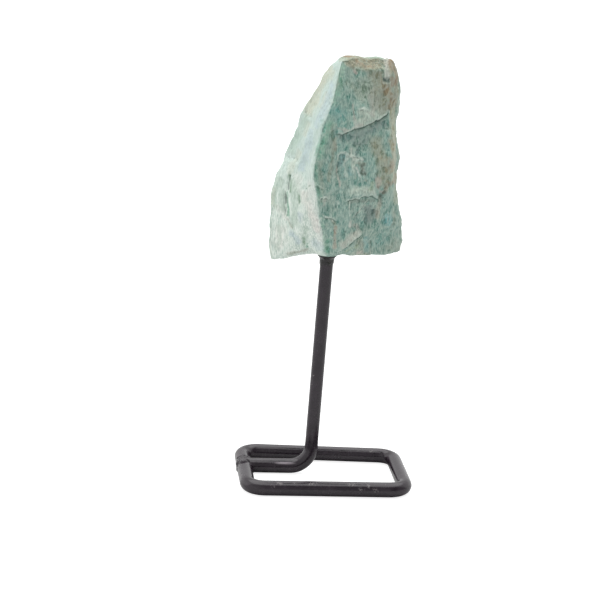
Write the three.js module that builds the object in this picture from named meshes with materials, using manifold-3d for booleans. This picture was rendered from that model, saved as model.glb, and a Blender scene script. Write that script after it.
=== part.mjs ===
// Rough amazonite chunk glued on a black wire pin stand.
// Millimetres, +Z up. The origin is on the ground under the middle of the base.
// +X is to the right of someone facing the stand, +Y is away from them.
import * as THREE from 'three';
import { mergeVertices } from 'three/addons/utils/BufferGeometryUtils.js';
import Module from 'manifold-3d';

const wasm = await Module();
wasm.setup();

// Stand: driving dimensions.
const clearance = 0.3;
const baseWire = 4.6;
const stemWire = 4.2;
const wireSides = 16;
const bendSteps = 6;
const cornerRadius = 5;
const baseCorners = [[-24.4, 16.6], [23.3, 13.9], [24.4, -16.4], [-23.3, -16.4]];
const stemBendRadius = 6.4;
const stemBendStart = -9.7;
const stemDepth = 3.4;
const stemLean = Math.atan(0.036);
const pinTop = 79.5;

// Weld bead where the two ends of the base wire and the leg of the stem meet.
const beadSize = [2.7, 3.4, 2.5];
const beadLift = 0.25;
const beadSides = [14, 9];

// Stone: driving dimensions.
const holeMouth = 69.4;
const spotWidth = 0.9;
const holeRadius = stemWire / 2 + clearance;
const holeEnd = pinTop + clearance;
const wallRows = 46;
const capRings = 6;
const crownHeight = 129.9;
const crownRelief = 0.5;
const crownCell = 3;
const lowestRough = 66.9;

// Glue: a fillet round the upright, under the stone.
const glueHeight = 2.2;
const glueTopRadius = 2.85;
const glueWaistRadius = 2.65;
const glueWaistShare = 0.6;
const glueBottomRadius = 2.6;
const glueSides = 20;
const leanRoom = 0.1;

// Corner lines of the stone, each from its lowest point to its highest, as [x, y, z].
// A wall of the stone spans two neighbouring lines. They go round it to the right, from
// the front ridge, and each wall is cut in the number of columns given with its first line.
// At a sharp line the relief of the walls fades out, so that the line keeps its place.
const cornerLines = [
  { name: 'front ridge', sharp: true, columns: 10, line: [
    [-3.1, -5.5, 71.8], [-4.7, -8, 79], [-5.7, -9.5, 84.7], [-7.2, -10.5, 91], [-8, -10.8, 95.4],
    [-7.7, -10.5, 99.3], [-5.5, -8.6, 108.9], [-2.9, -6.5, 118.1], [-2, -5.5, 123.5],
    [-0.3, -4.5, 129.8]] },
  { name: 'front middle', sharp: false, columns: 12, line: [
    [5.5, -4.5, 71.6], [4.4, -6.4, 79.9], [3.4, -7.5, 90.8], [2.3, -7.6, 101.2], [2.3, -6.6, 109.9],
    [2.9, -5.2, 118.5], [3.4, -3.8, 127.4]] },
  { name: 'front right', sharp: true, columns: 4, line: [
    [17, -1, 71.8], [16.6, -2.5, 78], [15.5, -4, 86], [16.1, -4, 94], [15.5, -4, 101],
    [14.7, -3.2, 109.6], [14.9, -2.5, 118.4], [14.2, -1.5, 127.2]] },
  { name: 'right edge', sharp: true, columns: 6, line: [
    [20.2, 1, 72.2], [21.4, 1.5, 75.5], [20.6, 1.5, 82.5], [19, 2, 87.9], [18.5, 3, 92.2],
    [19.3, 3, 100.5], [17.7, 3, 107.7], [17.9, 2.5, 114.1], [18.5, 2, 120.4], [16.8, 1, 126.7],
    [15.3, 1, 129.8]] },
  { name: 'back right', sharp: true, columns: 7, line: [
    [15.5, 10, 71], [17.5, 12, 80], [15, 13.5, 93], [16, 12, 105], [13.5, 9, 118], [12, 5, 129.3]] },
  { name: 'back middle', sharp: false, columns: 7, line: [
    [4, 13.5, 69.8], [5.5, 16.5, 79], [3.5, 17.2, 92], [5, 14, 106], [5.5, 10.5, 119],
    [6, 6, 129.9]] },
  { name: 'back left', sharp: true, columns: 6, line: [
    [-9, 13.5, 68.6], [-11.5, 16, 76], [-9.5, 16.5, 91], [-6.5, 13.5, 104], [-2.5, 9.5, 117],
    [1.6, 5.5, 129.5]] },
  { name: 'left edge', sharp: true, columns: 7, line: [
    [-18.1, 8.7, 66.8], [-19, 9, 70.4], [-19.1, 9.5, 82], [-18.6, 9.5, 88.9], [-17.2, 9.2, 93.6],
    [-15.2, 8.8, 97], [-15, 8.8, 99.3], [-13.5, 8.2, 104], [-11.5, 7.6, 108.4], [-11, 7, 112.1],
    [-7, 5.6, 120], [-5.1, 4.6, 123.7], [-2.9, 4.1, 126.8], [0, 3.5, 129.3]] },
  { name: 'left face', sharp: false, columns: 5, line: [
    [-8.7, 0, 70.4], [-8.9, -3, 77.9], [-9.4, -5, 85.4], [-9.9, -5, 91.4], [-9.3, -4, 98.7],
    [-8.1, -3.5, 106.1], [-3.4, -2, 120.7], [-0.5, -1, 129.3]] },
];

// Ledges of a side: an edge as [across, z] points, how proud the stone is above it, how far up
// that fades out, and how far it reaches past the ends of the edge.
const frontLedges = [
  { edge: [[-1, 109.7], [1.7, 108.8], [4.7, 110.5], [7.1, 110.4], [11.8, 113], [14.8, 114.7]],
    proud: 1.2, fade: 13, ends: 1 },
  { edge: [[3, 89.4], [6.8, 90.1], [12.4, 89.7]], proud: 1.2, fade: 8, ends: 1 },
  { edge: [[-5, 90], [-2.2, 90.4]], proud: 0.6, fade: 6, ends: 0.8 },
  { edge: [[-3.6, 84.6], [-2.2, 83.6], [-0.4, 84.2]], proud: 0.7, fade: 5, ends: 0.8 },
  { edge: [[4.1, 102.6], [6.6, 101.1], [9, 102.2]], proud: 0.8, fade: 7, ends: 1 },
  { edge: [[5, 98.8], [7, 96.6], [10, 97]], proud: 0.6, fade: 5, ends: 1 },
  { edge: [[0.9, 72.6], [4.2, 76.7], [7.4, 79.4]], proud: 0.9, fade: 6, ends: 1 },
];
const backLedges = [
  { edge: [[-9, 98], [-3, 101], [4, 100], [13, 104]], proud: -1.6, fade: 30, ends: 2 },
  { edge: [[-10, 83], [-4, 81.5], [2, 84]], proud: 1.3, fade: 12, ends: 1.5 },
  { edge: [[3, 89], [9, 86.5], [15, 88]], proud: 1, fade: 9, ends: 1.5 },
  { edge: [[0, 114], [5, 116], [10, 115]], proud: 0.9, fade: 8, ends: 1.5 },
];
const leftLedges = [
  { edge: [[0, 99], [4, 98], [8, 98.6]], proud: -0.8, fade: 16, ends: 1 },
  { edge: [[1, 111.5], [6, 112.5]], proud: -0.6, fade: 12, ends: 1 },
];

// Scoops of a side: a centre and half sizes as [across, z], and a depth.
const frontScoops = [
  { at: [2, 97.5], half: [2.4, 6.5], deep: 0.8 },
  { at: [8, 84.5], half: [4, 6], deep: 0.7 },
  { at: [14.6, 90.6], half: [3, 1.6], deep: 0.9 },
];
const backScoops = [
  { at: [8, 109], half: [4, 5], deep: 0.9 },
  { at: [-5, 91], half: [3.5, 6], deep: 1.1 },
  { at: [11, 79], half: [3.5, 4.5], deep: 0.9 },
];
const leftScoops = [
  { at: [2, 92.2], half: [1.1, 3.2], deep: 1 },
  { at: [3.2, 85.4], half: [1.1, 4], deep: 1 },
  { at: [5.5, 74.5], half: [1.4, 3], deep: 0.7 },
];

// Which relief each wall carries, by the corner line that it starts from.
const frontRelief = { across: 'x', ledges: frontLedges, scoops: frontScoops };
const plainRelief = { across: 'y', ledges: [], scoops: [] };
const backRelief = { across: 'x', ledges: backLedges, scoops: backScoops };
const leftRelief = { across: 'y', ledges: leftLedges, scoops: leftScoops };
const wallReliefs = [
  frontRelief, frontRelief, plainRelief, plainRelief, backRelief, backRelief, backRelief,
  leftRelief, leftRelief,
];

// Shares of a scoop's half size between which it rises to the face.
const scoopRim = [0.75, 1.1];

// Half the height over which a ledge steps in, and the shares of a wall and of the height over
// which relief fades out.
const stepWidth = 0.7;
const calmWidth = 0.16;
const calmRim = 0.05;

// Multipliers of the repeatable scatter.
const scatterWaves = [12.9898, 78.233, 37.719, 4.581];
const scatterReach = 43758.5453;

// Chips: shallow flakes over the whole stone, in cells that are taller than wide.
const chipCell = [8, 8, 12];
const chipLift = 1.1;
const chipTilt = 0.22;
const chipBowl = 0.022;
const chipMean = 0.2;

const materials = {
  stone: new THREE.MeshStandardMaterial({ color: 0x8fb5a5, roughness: 0.72, metalness: 0 }),
  paint: new THREE.MeshStandardMaterial({ color: 0x1d1b1e, roughness: 0.42, metalness: 0.1 }),
  glue: new THREE.MeshStandardMaterial({ color: 0x16131a, roughness: 0.3, metalness: 0 }),
};

const object = new THREE.Group();

function addPiece(name, geometry, material) {
  const mesh = new THREE.Mesh(geometry, material);
  mesh.name = name;
  object.add(mesh);
}

// A closed mesh as a solid for joining and cutting, and back.
function toSolid(geometry) {
  const bare = geometry.clone();
  bare.deleteAttribute('normal');
  bare.deleteAttribute('uv');
  const merged = mergeVertices(bare, 1e-4);
  const vertProperties = new Float32Array(merged.attributes.position.array);
  const triVerts = new Uint32Array(merged.index.array);
  return new wasm.Manifold(new wasm.Mesh({ numProp: 3, vertProperties, triVerts }));
}

function toGeometry(solid) {
  const mesh = solid.getMesh();
  const geometry = new THREE.BufferGeometry();
  geometry.setAttribute('position', new THREE.BufferAttribute(mesh.vertProperties, 3));
  geometry.setIndex(new THREE.BufferAttribute(mesh.triVerts, 1));
  geometry.computeVertexNormals();
  return geometry;
}

// Round wire section whose lowest side is flat.
function wireSection(diameter) {
  const shape = new THREE.Shape();
  for (let side = 0; side < wireSides; side += 1) {
    const angle = ((side + 0.5) / wireSides) * Math.PI * 2;
    const radius = diameter / 2 / Math.cos(Math.PI / wireSides);
    const x = radius * Math.cos(angle);
    const y = radius * Math.sin(angle);
    if (side === 0) shape.moveTo(x, y);
    else shape.lineTo(x, y);
  }
  shape.closePath();
  return shape;
}

// A path of straight stretches and even bends that returns exactly its own points.
class WirePath extends THREE.Curve {
  constructor(points) {
    super();
    this.points = points;
  }

  getPoint(t) {
    const place = Math.min(t, 1) * (this.points.length - 1);
    const index = Math.min(Math.floor(place), this.points.length - 2);
    return this.points[index].clone().lerp(this.points[index + 1], place - index);
  }

  getPointAt(t) {
    return this.getPoint(t);
  }

  getTangentAt(t) {
    const place = Math.round(t * (this.points.length - 1));
    const before = this.points[Math.max(place - 1, 0)];
    const after = this.points[Math.min(place + 1, this.points.length - 1)];
    const into = this.points[place].clone().sub(before).normalize();
    const out = after.clone().sub(this.points[place]).normalize();
    return into.add(out).normalize();
  }
}

function wireAlong(points, diameter) {
  return new THREE.ExtrudeGeometry(wireSection(diameter), {
    steps: points.length - 1,
    extrudePath: new WirePath(points),
  });
}

// Points of the arc that rounds the corner between two straight stretches.
function roundedCorner(before, corner, after, radius) {
  const back = before.clone().sub(corner).normalize();
  const on = after.clone().sub(corner).normalize();
  const halfAngle = back.angleTo(on) / 2;
  const middle = back.clone().add(on).normalize();
  const centre = corner.clone().addScaledVector(middle, radius / Math.sin(halfAngle));
  const setback = radius / Math.tan(halfAngle);
  const from = corner.clone().addScaledVector(back, setback).sub(centre);
  const to = corner.clone().addScaledVector(on, setback).sub(centre);
  const turn = from.angleTo(to);
  const points = [];
  for (let step = 0; step <= bendSteps; step += 1) {
    const share = step / bendSteps;
    const start = Math.sin((1 - share) * turn) / Math.sin(turn);
    const end = Math.sin(share * turn) / Math.sin(turn);
    points.push(centre.clone().addScaledVector(from, start).addScaledVector(to, end));
  }
  return points;
}

// The place on the left bar, level with the leg of the stem, where the base wire is welded.
function weldPlace() {
  const [backLeft, , , frontLeft] = baseCorners;
  const share = (stemDepth - frontLeft[1]) / (backLeft[1] - frontLeft[1]);
  const x = frontLeft[0] + share * (backLeft[0] - frontLeft[0]);
  return new THREE.Vector3(x, stemDepth, baseWire / 2);
}

function stemPoints(place) {
  const height = stemWire / 2;
  const start = new THREE.Vector3(place.x + baseWire / 2 + clearance, stemDepth, height);
  const centre = new THREE.Vector3(stemBendStart, stemDepth, height + stemBendRadius);
  const points = [start];
  const turn = Math.PI / 2 - stemLean;
  for (let step = 0; step <= bendSteps + 2; step += 1) {
    const angle = (step / (bendSteps + 2)) * turn;
    const x = centre.x + stemBendRadius * Math.sin(angle);
    const z = centre.z - stemBendRadius * Math.cos(angle);
    points.push(new THREE.Vector3(x, stemDepth, z));
  }
  const last = points[points.length - 1];
  const rise = pinTop - last.z;
  points.push(new THREE.Vector3(last.x + rise * Math.tan(stemLean), stemDepth, pinTop));
  return points;
}

// The middle of the upright at a height.
function uprightAt(z) {
  const turn = Math.PI / 2 - stemLean;
  const bendTopX = stemBendStart + stemBendRadius * Math.sin(turn);
  const bendTopZ = stemWire / 2 + stemBendRadius * (1 - Math.cos(turn));
  return bendTopX + (z - bendTopZ) * Math.tan(stemLean);
}

function makeBaseLoop() {
  const place = weldPlace();
  const corners = baseCorners.map(([x, y]) => new THREE.Vector3(x, y, baseWire / 2));
  const along = corners[0].clone().sub(corners[3]).normalize();
  const start = place.clone().addScaledVector(along, clearance);
  const end = place.clone().addScaledVector(along, -clearance);
  const points = [start];
  corners.forEach((corner, index) => {
    const before = corners[(index + 3) % 4];
    const after = corners[(index + 1) % 4];
    points.push(...roundedCorner(before, corner, after, cornerRadius));
  });
  points.push(end);
  const wire = toSolid(wireAlong(points, baseWire));
  const ball = new THREE.SphereGeometry(1, ...beadSides);
  ball.scale(...beadSize);
  ball.translate(place.x, place.y, place.z + beadLift);
  const legRoom = wireAlong(stemPoints(place).slice(0, 2), stemWire + 2 * clearance);
  const bead = toSolid(ball).subtract(toSolid(legRoom));
  return toGeometry(wire.add(bead));
}

function makeStem() {
  return wireAlong(stemPoints(weldPlace()), stemWire);
}

function makeGlueCollar() {
  const bore = stemWire / 2 + clearance;
  const profile = [
    [bore, 0], [glueBottomRadius, 0], [glueWaistRadius, glueHeight * glueWaistShare],
    [glueTopRadius, glueHeight], [bore, glueHeight], [bore, 0],
  ].map(([x, y]) => new THREE.Vector2(x, y));
  const collar = new THREE.LatheGeometry(profile, glueSides);
  const bottom = holeMouth - clearance - glueHeight - leanRoom;
  collar.rotateX(Math.PI / 2);
  collar.rotateY(stemLean);
  collar.translate(uprightAt(bottom), stemDepth, bottom);
  return collar;
}

function smooth(from, to, value) {
  const share = Math.min(Math.max((value - from) / (to - from), 0), 1);
  return share * share * (3 - 2 * share);
}

// A repeatable number from 0 to 1 for a cell of the chip pattern.
function scatter(i, j, k, salt) {
  const [onI, onJ, onK, onSalt] = scatterWaves;
  const value = Math.sin(i * onI + j * onJ + k * onK + salt * onSalt) * scatterReach;
  return value - Math.floor(value);
}

// Flakes: the lowest of the tilted, slightly hollow surfaces of the cells round a place.
function chips(point) {
  const home = chipCell.map((size, axis) => Math.floor(point.getComponent(axis) / size));
  let lowest = Infinity;
  for (let cell = 0; cell < 27; cell += 1) {
    const i = home[0] + (cell % 3) - 1;
    const j = home[1] + (Math.floor(cell / 3) % 3) - 1;
    const k = home[2] + Math.floor(cell / 9) - 1;
    const dx = point.x - (i + scatter(i, j, k, 1)) * chipCell[0];
    const dy = point.y - (j + scatter(i, j, k, 2)) * chipCell[1];
    const dz = (point.z - (k + scatter(i, j, k, 3)) * chipCell[2]) * (chipCell[0] / chipCell[2]);
    const lift = chipLift * (scatter(i, j, k, 4) - 0.5);
    const slopes = dx * (scatter(i, j, k, 5) - 0.5) + dy * (scatter(i, j, k, 6) - 0.5);
    const tilt = chipTilt * (slopes + dz * (scatter(i, j, k, 7) - 0.5));
    lowest = Math.min(lowest, lift + tilt + chipBowl * (dx * dx + dy * dy + dz * dz));
  }
  return lowest - chipMean;
}

// How far above the edge of a ledge a place is, with the edge carried on level past its ends.
function heightOver(edge, x, z) {
  let index = 0;
  while (index < edge.length - 2 && x > edge[index + 1][0]) index += 1;
  const [fromX, fromZ] = edge[index];
  const [toX, toZ] = edge[index + 1];
  const share = Math.min(Math.max((x - fromX) / (toX - fromX), 0), 1);
  return z - (fromZ + share * (toZ - fromZ));
}

function ledge({ edge, proud, fade, ends }, x, z) {
  const first = edge[0][0];
  const last = edge[edge.length - 1][0];
  const above = heightOver(edge, x, z);
  const step = smooth(-stepWidth, stepWidth, above) * (1 - smooth(0, fade, above));
  const inside = smooth(first - ends, first + ends, x) * (1 - smooth(last - ends, last + ends, x));
  return proud * step * inside;
}

function scoop({ at, half, deep }, a, z) {
  const across = (a - at[0]) / half[0];
  const upDown = (z - at[1]) / half[1];
  return -deep * (1 - smooth(...scoopRim, Math.hypot(across, upDown)));
}

// Relief of a wall at a place: out of the stone is positive.
function relief(wall, point) {
  const { across, ledges, scoops } = wallReliefs[wall];
  let out = chips(point);
  ledges.forEach((item) => { out += ledge(item, point[across], point.z); });
  scoops.forEach((item) => { out += scoop(item, point[across], point.z); });
  return out;
}

// A place on a corner line, at a share of the way from its bottom to its top.
function placeOn(line, share) {
  const z = line[0][2] + share * (line[line.length - 1][2] - line[0][2]);
  let index = 0;
  while (index < line.length - 2 && z > line[index + 1][2]) index += 1;
  const from = new THREE.Vector3(...line[index]);
  const to = new THREE.Vector3(...line[index + 1]);
  return from.lerp(to, (z - line[index][2]) / (line[index + 1][2] - line[index][2]));
}

// How much of the relief a place on a wall keeps: less near a sharp line and near the rims.
function reliefShare(wall, across, share) {
  const after = cornerLines[(wall + 1) % cornerLines.length];
  const nearStart = cornerLines[wall].sharp ? smooth(0, calmWidth, across) : 1;
  const nearEnd = after.sharp ? smooth(0, calmWidth, 1 - across) : 1;
  return nearStart * nearEnd * smooth(0, calmRim, share) * smooth(0, calmRim, 1 - share);
}

function wallRing(share) {
  const ring = [];
  const corners = cornerLines.map(({ line }) => placeOn(line, share));
  cornerLines.forEach(({ columns }, wall) => {
    const from = corners[wall];
    const to = corners[(wall + 1) % corners.length];
    const along = to.clone().sub(from);
    const outward = new THREE.Vector3(along.y, -along.x, 0).normalize();
    for (let column = 0; column < columns; column += 1) {
      const across = column / columns;
      const point = from.clone().lerp(to, across);
      point.addScaledVector(outward, relief(wall, point) * reliefShare(wall, across, share));
      ring.push(point);
    }
  });
  return ring;
}

// Rings that close the top: they shrink to the middle, over a low uneven crown.
function topRings(rim) {
  const middle = new THREE.Vector3();
  rim.forEach((point) => middle.addScaledVector(point, 1 / rim.length));
  middle.z = crownHeight;
  const rings = [];
  for (let ring = 1; ring < capRings; ring += 1) {
    const inward = ring / capRings;
    rings.push(rim.map((point) => {
      const place = point.clone().lerp(middle, inward);
      const bump = scatter(Math.floor(place.x / crownCell), 0, 0, 9) - 0.5;
      place.z += crownRelief * smooth(0, 0.4, inward) * bump;
      return place;
    }));
  }
  return { rings, middle };
}

// Rings that close the underside: in to the flat spot round the drilled hole, then up its wall.
function undersideRings(rim) {
  const onHole = (point, z, radius) => {
    const angle = Math.atan2(point.y - stemDepth, point.x - uprightAt(z));
    const x = uprightAt(z) + radius * Math.cos(angle);
    return new THREE.Vector3(x, stemDepth + radius * Math.sin(angle), z);
  };
  const spotRadius = holeRadius + spotWidth;
  const rings = [];
  for (let ring = 1; ring < capRings; ring += 1) {
    const inward = ring / capRings;
    rings.push(rim.map((point) => {
      const place = point.clone().lerp(onHole(point, holeMouth, spotRadius), inward);
      const rough = 1 - Math.abs(2 * inward - 1);
      const height = point.z + (holeMouth - point.z) * inward ** 3;
      place.z = Math.max(height + rough * Math.max(chips(place), 0), lowestRough);
      return place;
    }));
  }
  rings.push(rim.map((point) => onHole(point, holeMouth, spotRadius)));
  rings.push(rim.map((point) => onHole(point, holeMouth, holeRadius)));
  rings.push(rim.map((point) => onHole(point, holeEnd, holeRadius)));
  return { rings, middle: new THREE.Vector3(uprightAt(holeEnd), stemDepth, holeEnd) };
}

function makeStone() {
  const walls = [];
  for (let row = 0; row <= wallRows; row += 1) walls.push(wallRing(row / wallRows));
  const underside = undersideRings(walls[0]);
  const top = topRings(walls[wallRows]);
  const rings = [...underside.rings.reverse(), ...walls, ...top.rings];
  const around = walls[0].length;
  const points = [underside.middle, ...rings.flat(), top.middle];
  const index = [];
  for (let ring = 0; ring < rings.length - 1; ring += 1) {
    for (let side = 0; side < around; side += 1) {
      const next = (side + 1) % around;
      const low = 1 + ring * around;
      const high = low + around;
      index.push(low + side, low + next, high + next);
      index.push(low + side, high + next, high + side);
    }
  }
  const lastRing = 1 + (rings.length - 1) * around;
  for (let side = 0; side < around; side += 1) {
    const next = (side + 1) % around;
    index.push(0, 1 + next, 1 + side);
    index.push(points.length - 1, lastRing + side, lastRing + next);
  }
  const geometry = new THREE.BufferGeometry().setFromPoints(points);
  geometry.setIndex(index);
  geometry.computeVertexNormals();
  return geometry;
}

addPiece('base_loop', makeBaseLoop(), materials.paint);
addPiece('stem', makeStem(), materials.paint);
addPiece('glue_collar', makeGlueCollar(), materials.glue);
addPiece('amazonite', makeStone(), materials.stone);

export default object;
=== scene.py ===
import math

import bpy
import numpy as np
from mathutils import Matrix, Vector


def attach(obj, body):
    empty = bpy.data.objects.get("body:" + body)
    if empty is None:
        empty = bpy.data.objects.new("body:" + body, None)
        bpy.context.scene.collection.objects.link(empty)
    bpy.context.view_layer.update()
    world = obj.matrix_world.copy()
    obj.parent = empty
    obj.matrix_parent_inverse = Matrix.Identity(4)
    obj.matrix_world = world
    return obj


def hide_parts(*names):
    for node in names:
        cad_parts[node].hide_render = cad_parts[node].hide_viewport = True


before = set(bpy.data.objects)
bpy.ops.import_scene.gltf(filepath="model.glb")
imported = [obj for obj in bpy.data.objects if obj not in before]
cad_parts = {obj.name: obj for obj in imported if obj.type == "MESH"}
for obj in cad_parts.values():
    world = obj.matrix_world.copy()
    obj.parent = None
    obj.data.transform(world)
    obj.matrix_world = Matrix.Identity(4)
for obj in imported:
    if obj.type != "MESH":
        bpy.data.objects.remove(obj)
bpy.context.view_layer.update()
scene = bpy.context.scene
mm = 0.001
print("frame loaded:", sorted(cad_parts))


# Node trees: an expression on sockets adds its Math nodes, and node() adds any other node.
class Socket:
    def __init__(self, tree, output=None):
        self.tree = tree
        self.output = output

    def node(self, kind, settings=None, sockets=None, out=0):
        made = self.tree.nodes.new(kind)
        for name, value in (settings or {}).items():
            setattr(made, name, value)
        for key, value in (sockets or {}).items():
            if isinstance(value, Socket):
                self.tree.links.new(value.output, made.inputs[key])
            else:
                made.inputs[key].default_value = value
        return Socket(self.tree, made.outputs[out] if made.outputs else None)

    def math(self, operation, *values):
        return self.node("ShaderNodeMath", {"operation": operation}, dict(enumerate(values)))

    def vector(self, operation, sockets, out=0):
        return self.node("ShaderNodeVectorMath", {"operation": operation}, sockets, out)

    def __add__(self, other):
        return self.math("ADD", self, other)

    def __sub__(self, other):
        return self.math("SUBTRACT", self, other)

    def __rsub__(self, other):
        return self.math("SUBTRACT", other, self)

    def __mul__(self, other):
        return self.math("MULTIPLY", self, other)

    __radd__ = __add__
    __rmul__ = __mul__

    def atLeast(self, low):
        return self.math("MAXIMUM", self, low)

    def between(self, low, high, fromValue=0.0, toValue=1.0):
        # a soft step from one value to another as this socket goes from low to high
        sockets = {0: self, 1: low, 2: high, 3: fromValue, 4: toValue}
        return self.node("ShaderNodeMapRange", {"interpolation_type": "SMOOTHSTEP"}, sockets)

    def tint(self, below, above):
        # a colour that goes from below to above as this socket goes from 0 to 1
        return self.node("ShaderNodeMix", {"data_type": "RGBA"}, {0: self, 6: below, 7: above}, 2)


def newMaterial(name):
    material = bpy.data.materials.new(name)
    material.use_nodes = True
    material.node_tree.nodes.clear()
    return material, Socket(material.node_tree)


def finishMaterial(nodes, shader):
    nodes.node("ShaderNodeOutputMaterial", sockets={0: shader})


def finishSurface(nodes, looks, strength, depth, height):
    # the shader of a piece, with a bump whose depth is in millimetres
    bump = {"Strength": strength, "Distance": depth * mm, "Height": height}
    normal = nodes.node("ShaderNodeBump", sockets=bump)
    shader = nodes.node("ShaderNodeBsdfPrincipled", sockets={**looks, "Normal": normal})
    finishMaterial(nodes, shader)


# Fine noise on the object's own coordinates, in waves per millimetre on each axis.
def grain(nodes, waves, detail=2.0, roughness=0.5, distortion=0.0, shift=0.0):
    place = nodes.node("ShaderNodeTexCoord", out=3)
    mapping = {0: place, 1: (shift, shift, shift), 3: tuple(wave / mm for wave in waves)}
    spread = nodes.node("ShaderNodeMapping", sockets=mapping)
    return nodes.node("ShaderNodeTexNoise", sockets={
        "Vector": spread, "Scale": 1.0, "Detail": detail, "Roughness": roughness,
        "Distortion": distortion})


def mask(nodes, name):
    return nodes.node("ShaderNodeAttribute", {"attribute_name": name}, out=2)


def newMesh(name, points, edges, faces):
    # points are in millimetres
    mesh = bpy.data.meshes.new(name)
    mesh.from_pydata((np.array(points, float) * mm).tolist(), edges, faces)
    return mesh


def newPiece(name, mesh, material=None):
    if material:
        mesh.materials.append(material)
    mesh.polygons.foreach_set("use_smooth", np.ones(len(mesh.polygons), bool))
    piece = bpy.data.objects.new(name, mesh)
    scene.collection.objects.link(piece)
    return piece


def addField(mesh, name, values):
    mesh.attributes.new(name, "FLOAT", "POINT").data.foreach_set("value", values)


# Number fields on arrays of points, in millimetres.
def smooth(low, high, value):
    share = np.clip((value - low) / (high - low), 0, 1)
    return share * share * (3 - 2 * share)


hashWaves = (12.9898, 78.233, 37.719)
hashSalt = 4.581
hashSpread = 43758.5453


def scatter(cells, salt):
    # a repeatable number from 0 to 1 for each cell
    waves = sum(cells[..., axis] * wave for axis, wave in enumerate(hashWaves)) + salt * hashSalt
    value = np.sin(waves) * hashSpread
    return value - np.floor(value)


def drift(points, size, salt):
    # smooth noise from -1 to 1, in cells of the given size
    place = points / np.asarray(size, float)
    home = np.floor(place)
    share = smooth(0, 1, place - home)
    total = 0
    for corner in np.ndindex(2, 2, 2):
        step = np.array(corner)
        weight = np.prod(np.where(step, share, 1 - share), axis=-1)
        total = total + weight * scatter(home + step, salt)
    return 2 * total - 1


def roughDrift(points, size, salt, octaves=1, gain=0.5):
    total, weight, size = 0, 1.0, np.asarray(size, float)
    for octave in range(octaves):
        total = total + weight * drift(points, size, salt + octave)
        weight *= gain
        size = size / 2
    return total


def flakes(points, cell, lift, tilt, bowl, salt):
    # the lowest of the tilted, slightly hollow surfaces of the cells round a place,
    # and how far above it the next one lies, which is small along the crests between flakes
    cell = np.asarray(cell, float)
    home = np.floor(points / cell)
    lowest = np.full(points.shape[:-1], np.inf)
    second = lowest.copy()
    for corner in np.ndindex(3, 3, 3):
        here = home + np.array(corner[::-1]) - 1
        away = [points[..., axis] - (here[..., axis] + scatter(here, salt + 1 + axis)) * cell[axis]
                for axis in range(3)]
        away[2] = away[2] * (cell[0] / cell[2])
        height = lift * (scatter(here, salt + 4) - 0.5)
        for axis in range(3):
            height = height + tilt * away[axis] * (scatter(here, salt + 5 + axis) - 0.5)
            height = height + bowl * away[axis] ** 2
        second = np.minimum(second, np.maximum(lowest, height))
        lowest = np.minimum(lowest, height)
    return lowest, second - lowest


def blurAlong(values, axis, reach):
    # a triangular running mean over the given number of steps each way: axis 0 goes up the
    # stone, and axis 1 goes round it and closes
    weights = reach + 1 - np.abs(np.arange(-reach, reach + 1))
    total = np.zeros_like(values)
    padding = [(reach, reach) if side == axis else (0, 0) for side in range(values.ndim)]
    padded = np.pad(values, padding, mode="wrap" if axis == 1 else "edge")
    for step, weight in enumerate(weights):
        total += weight * np.take(padded, range(step, step + values.shape[axis]), axis=axis)
    return total / weights.sum()


def blur(values, around, along):
    return blurAlong(blurAlong(values, 1, around), 0, along)


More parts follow.
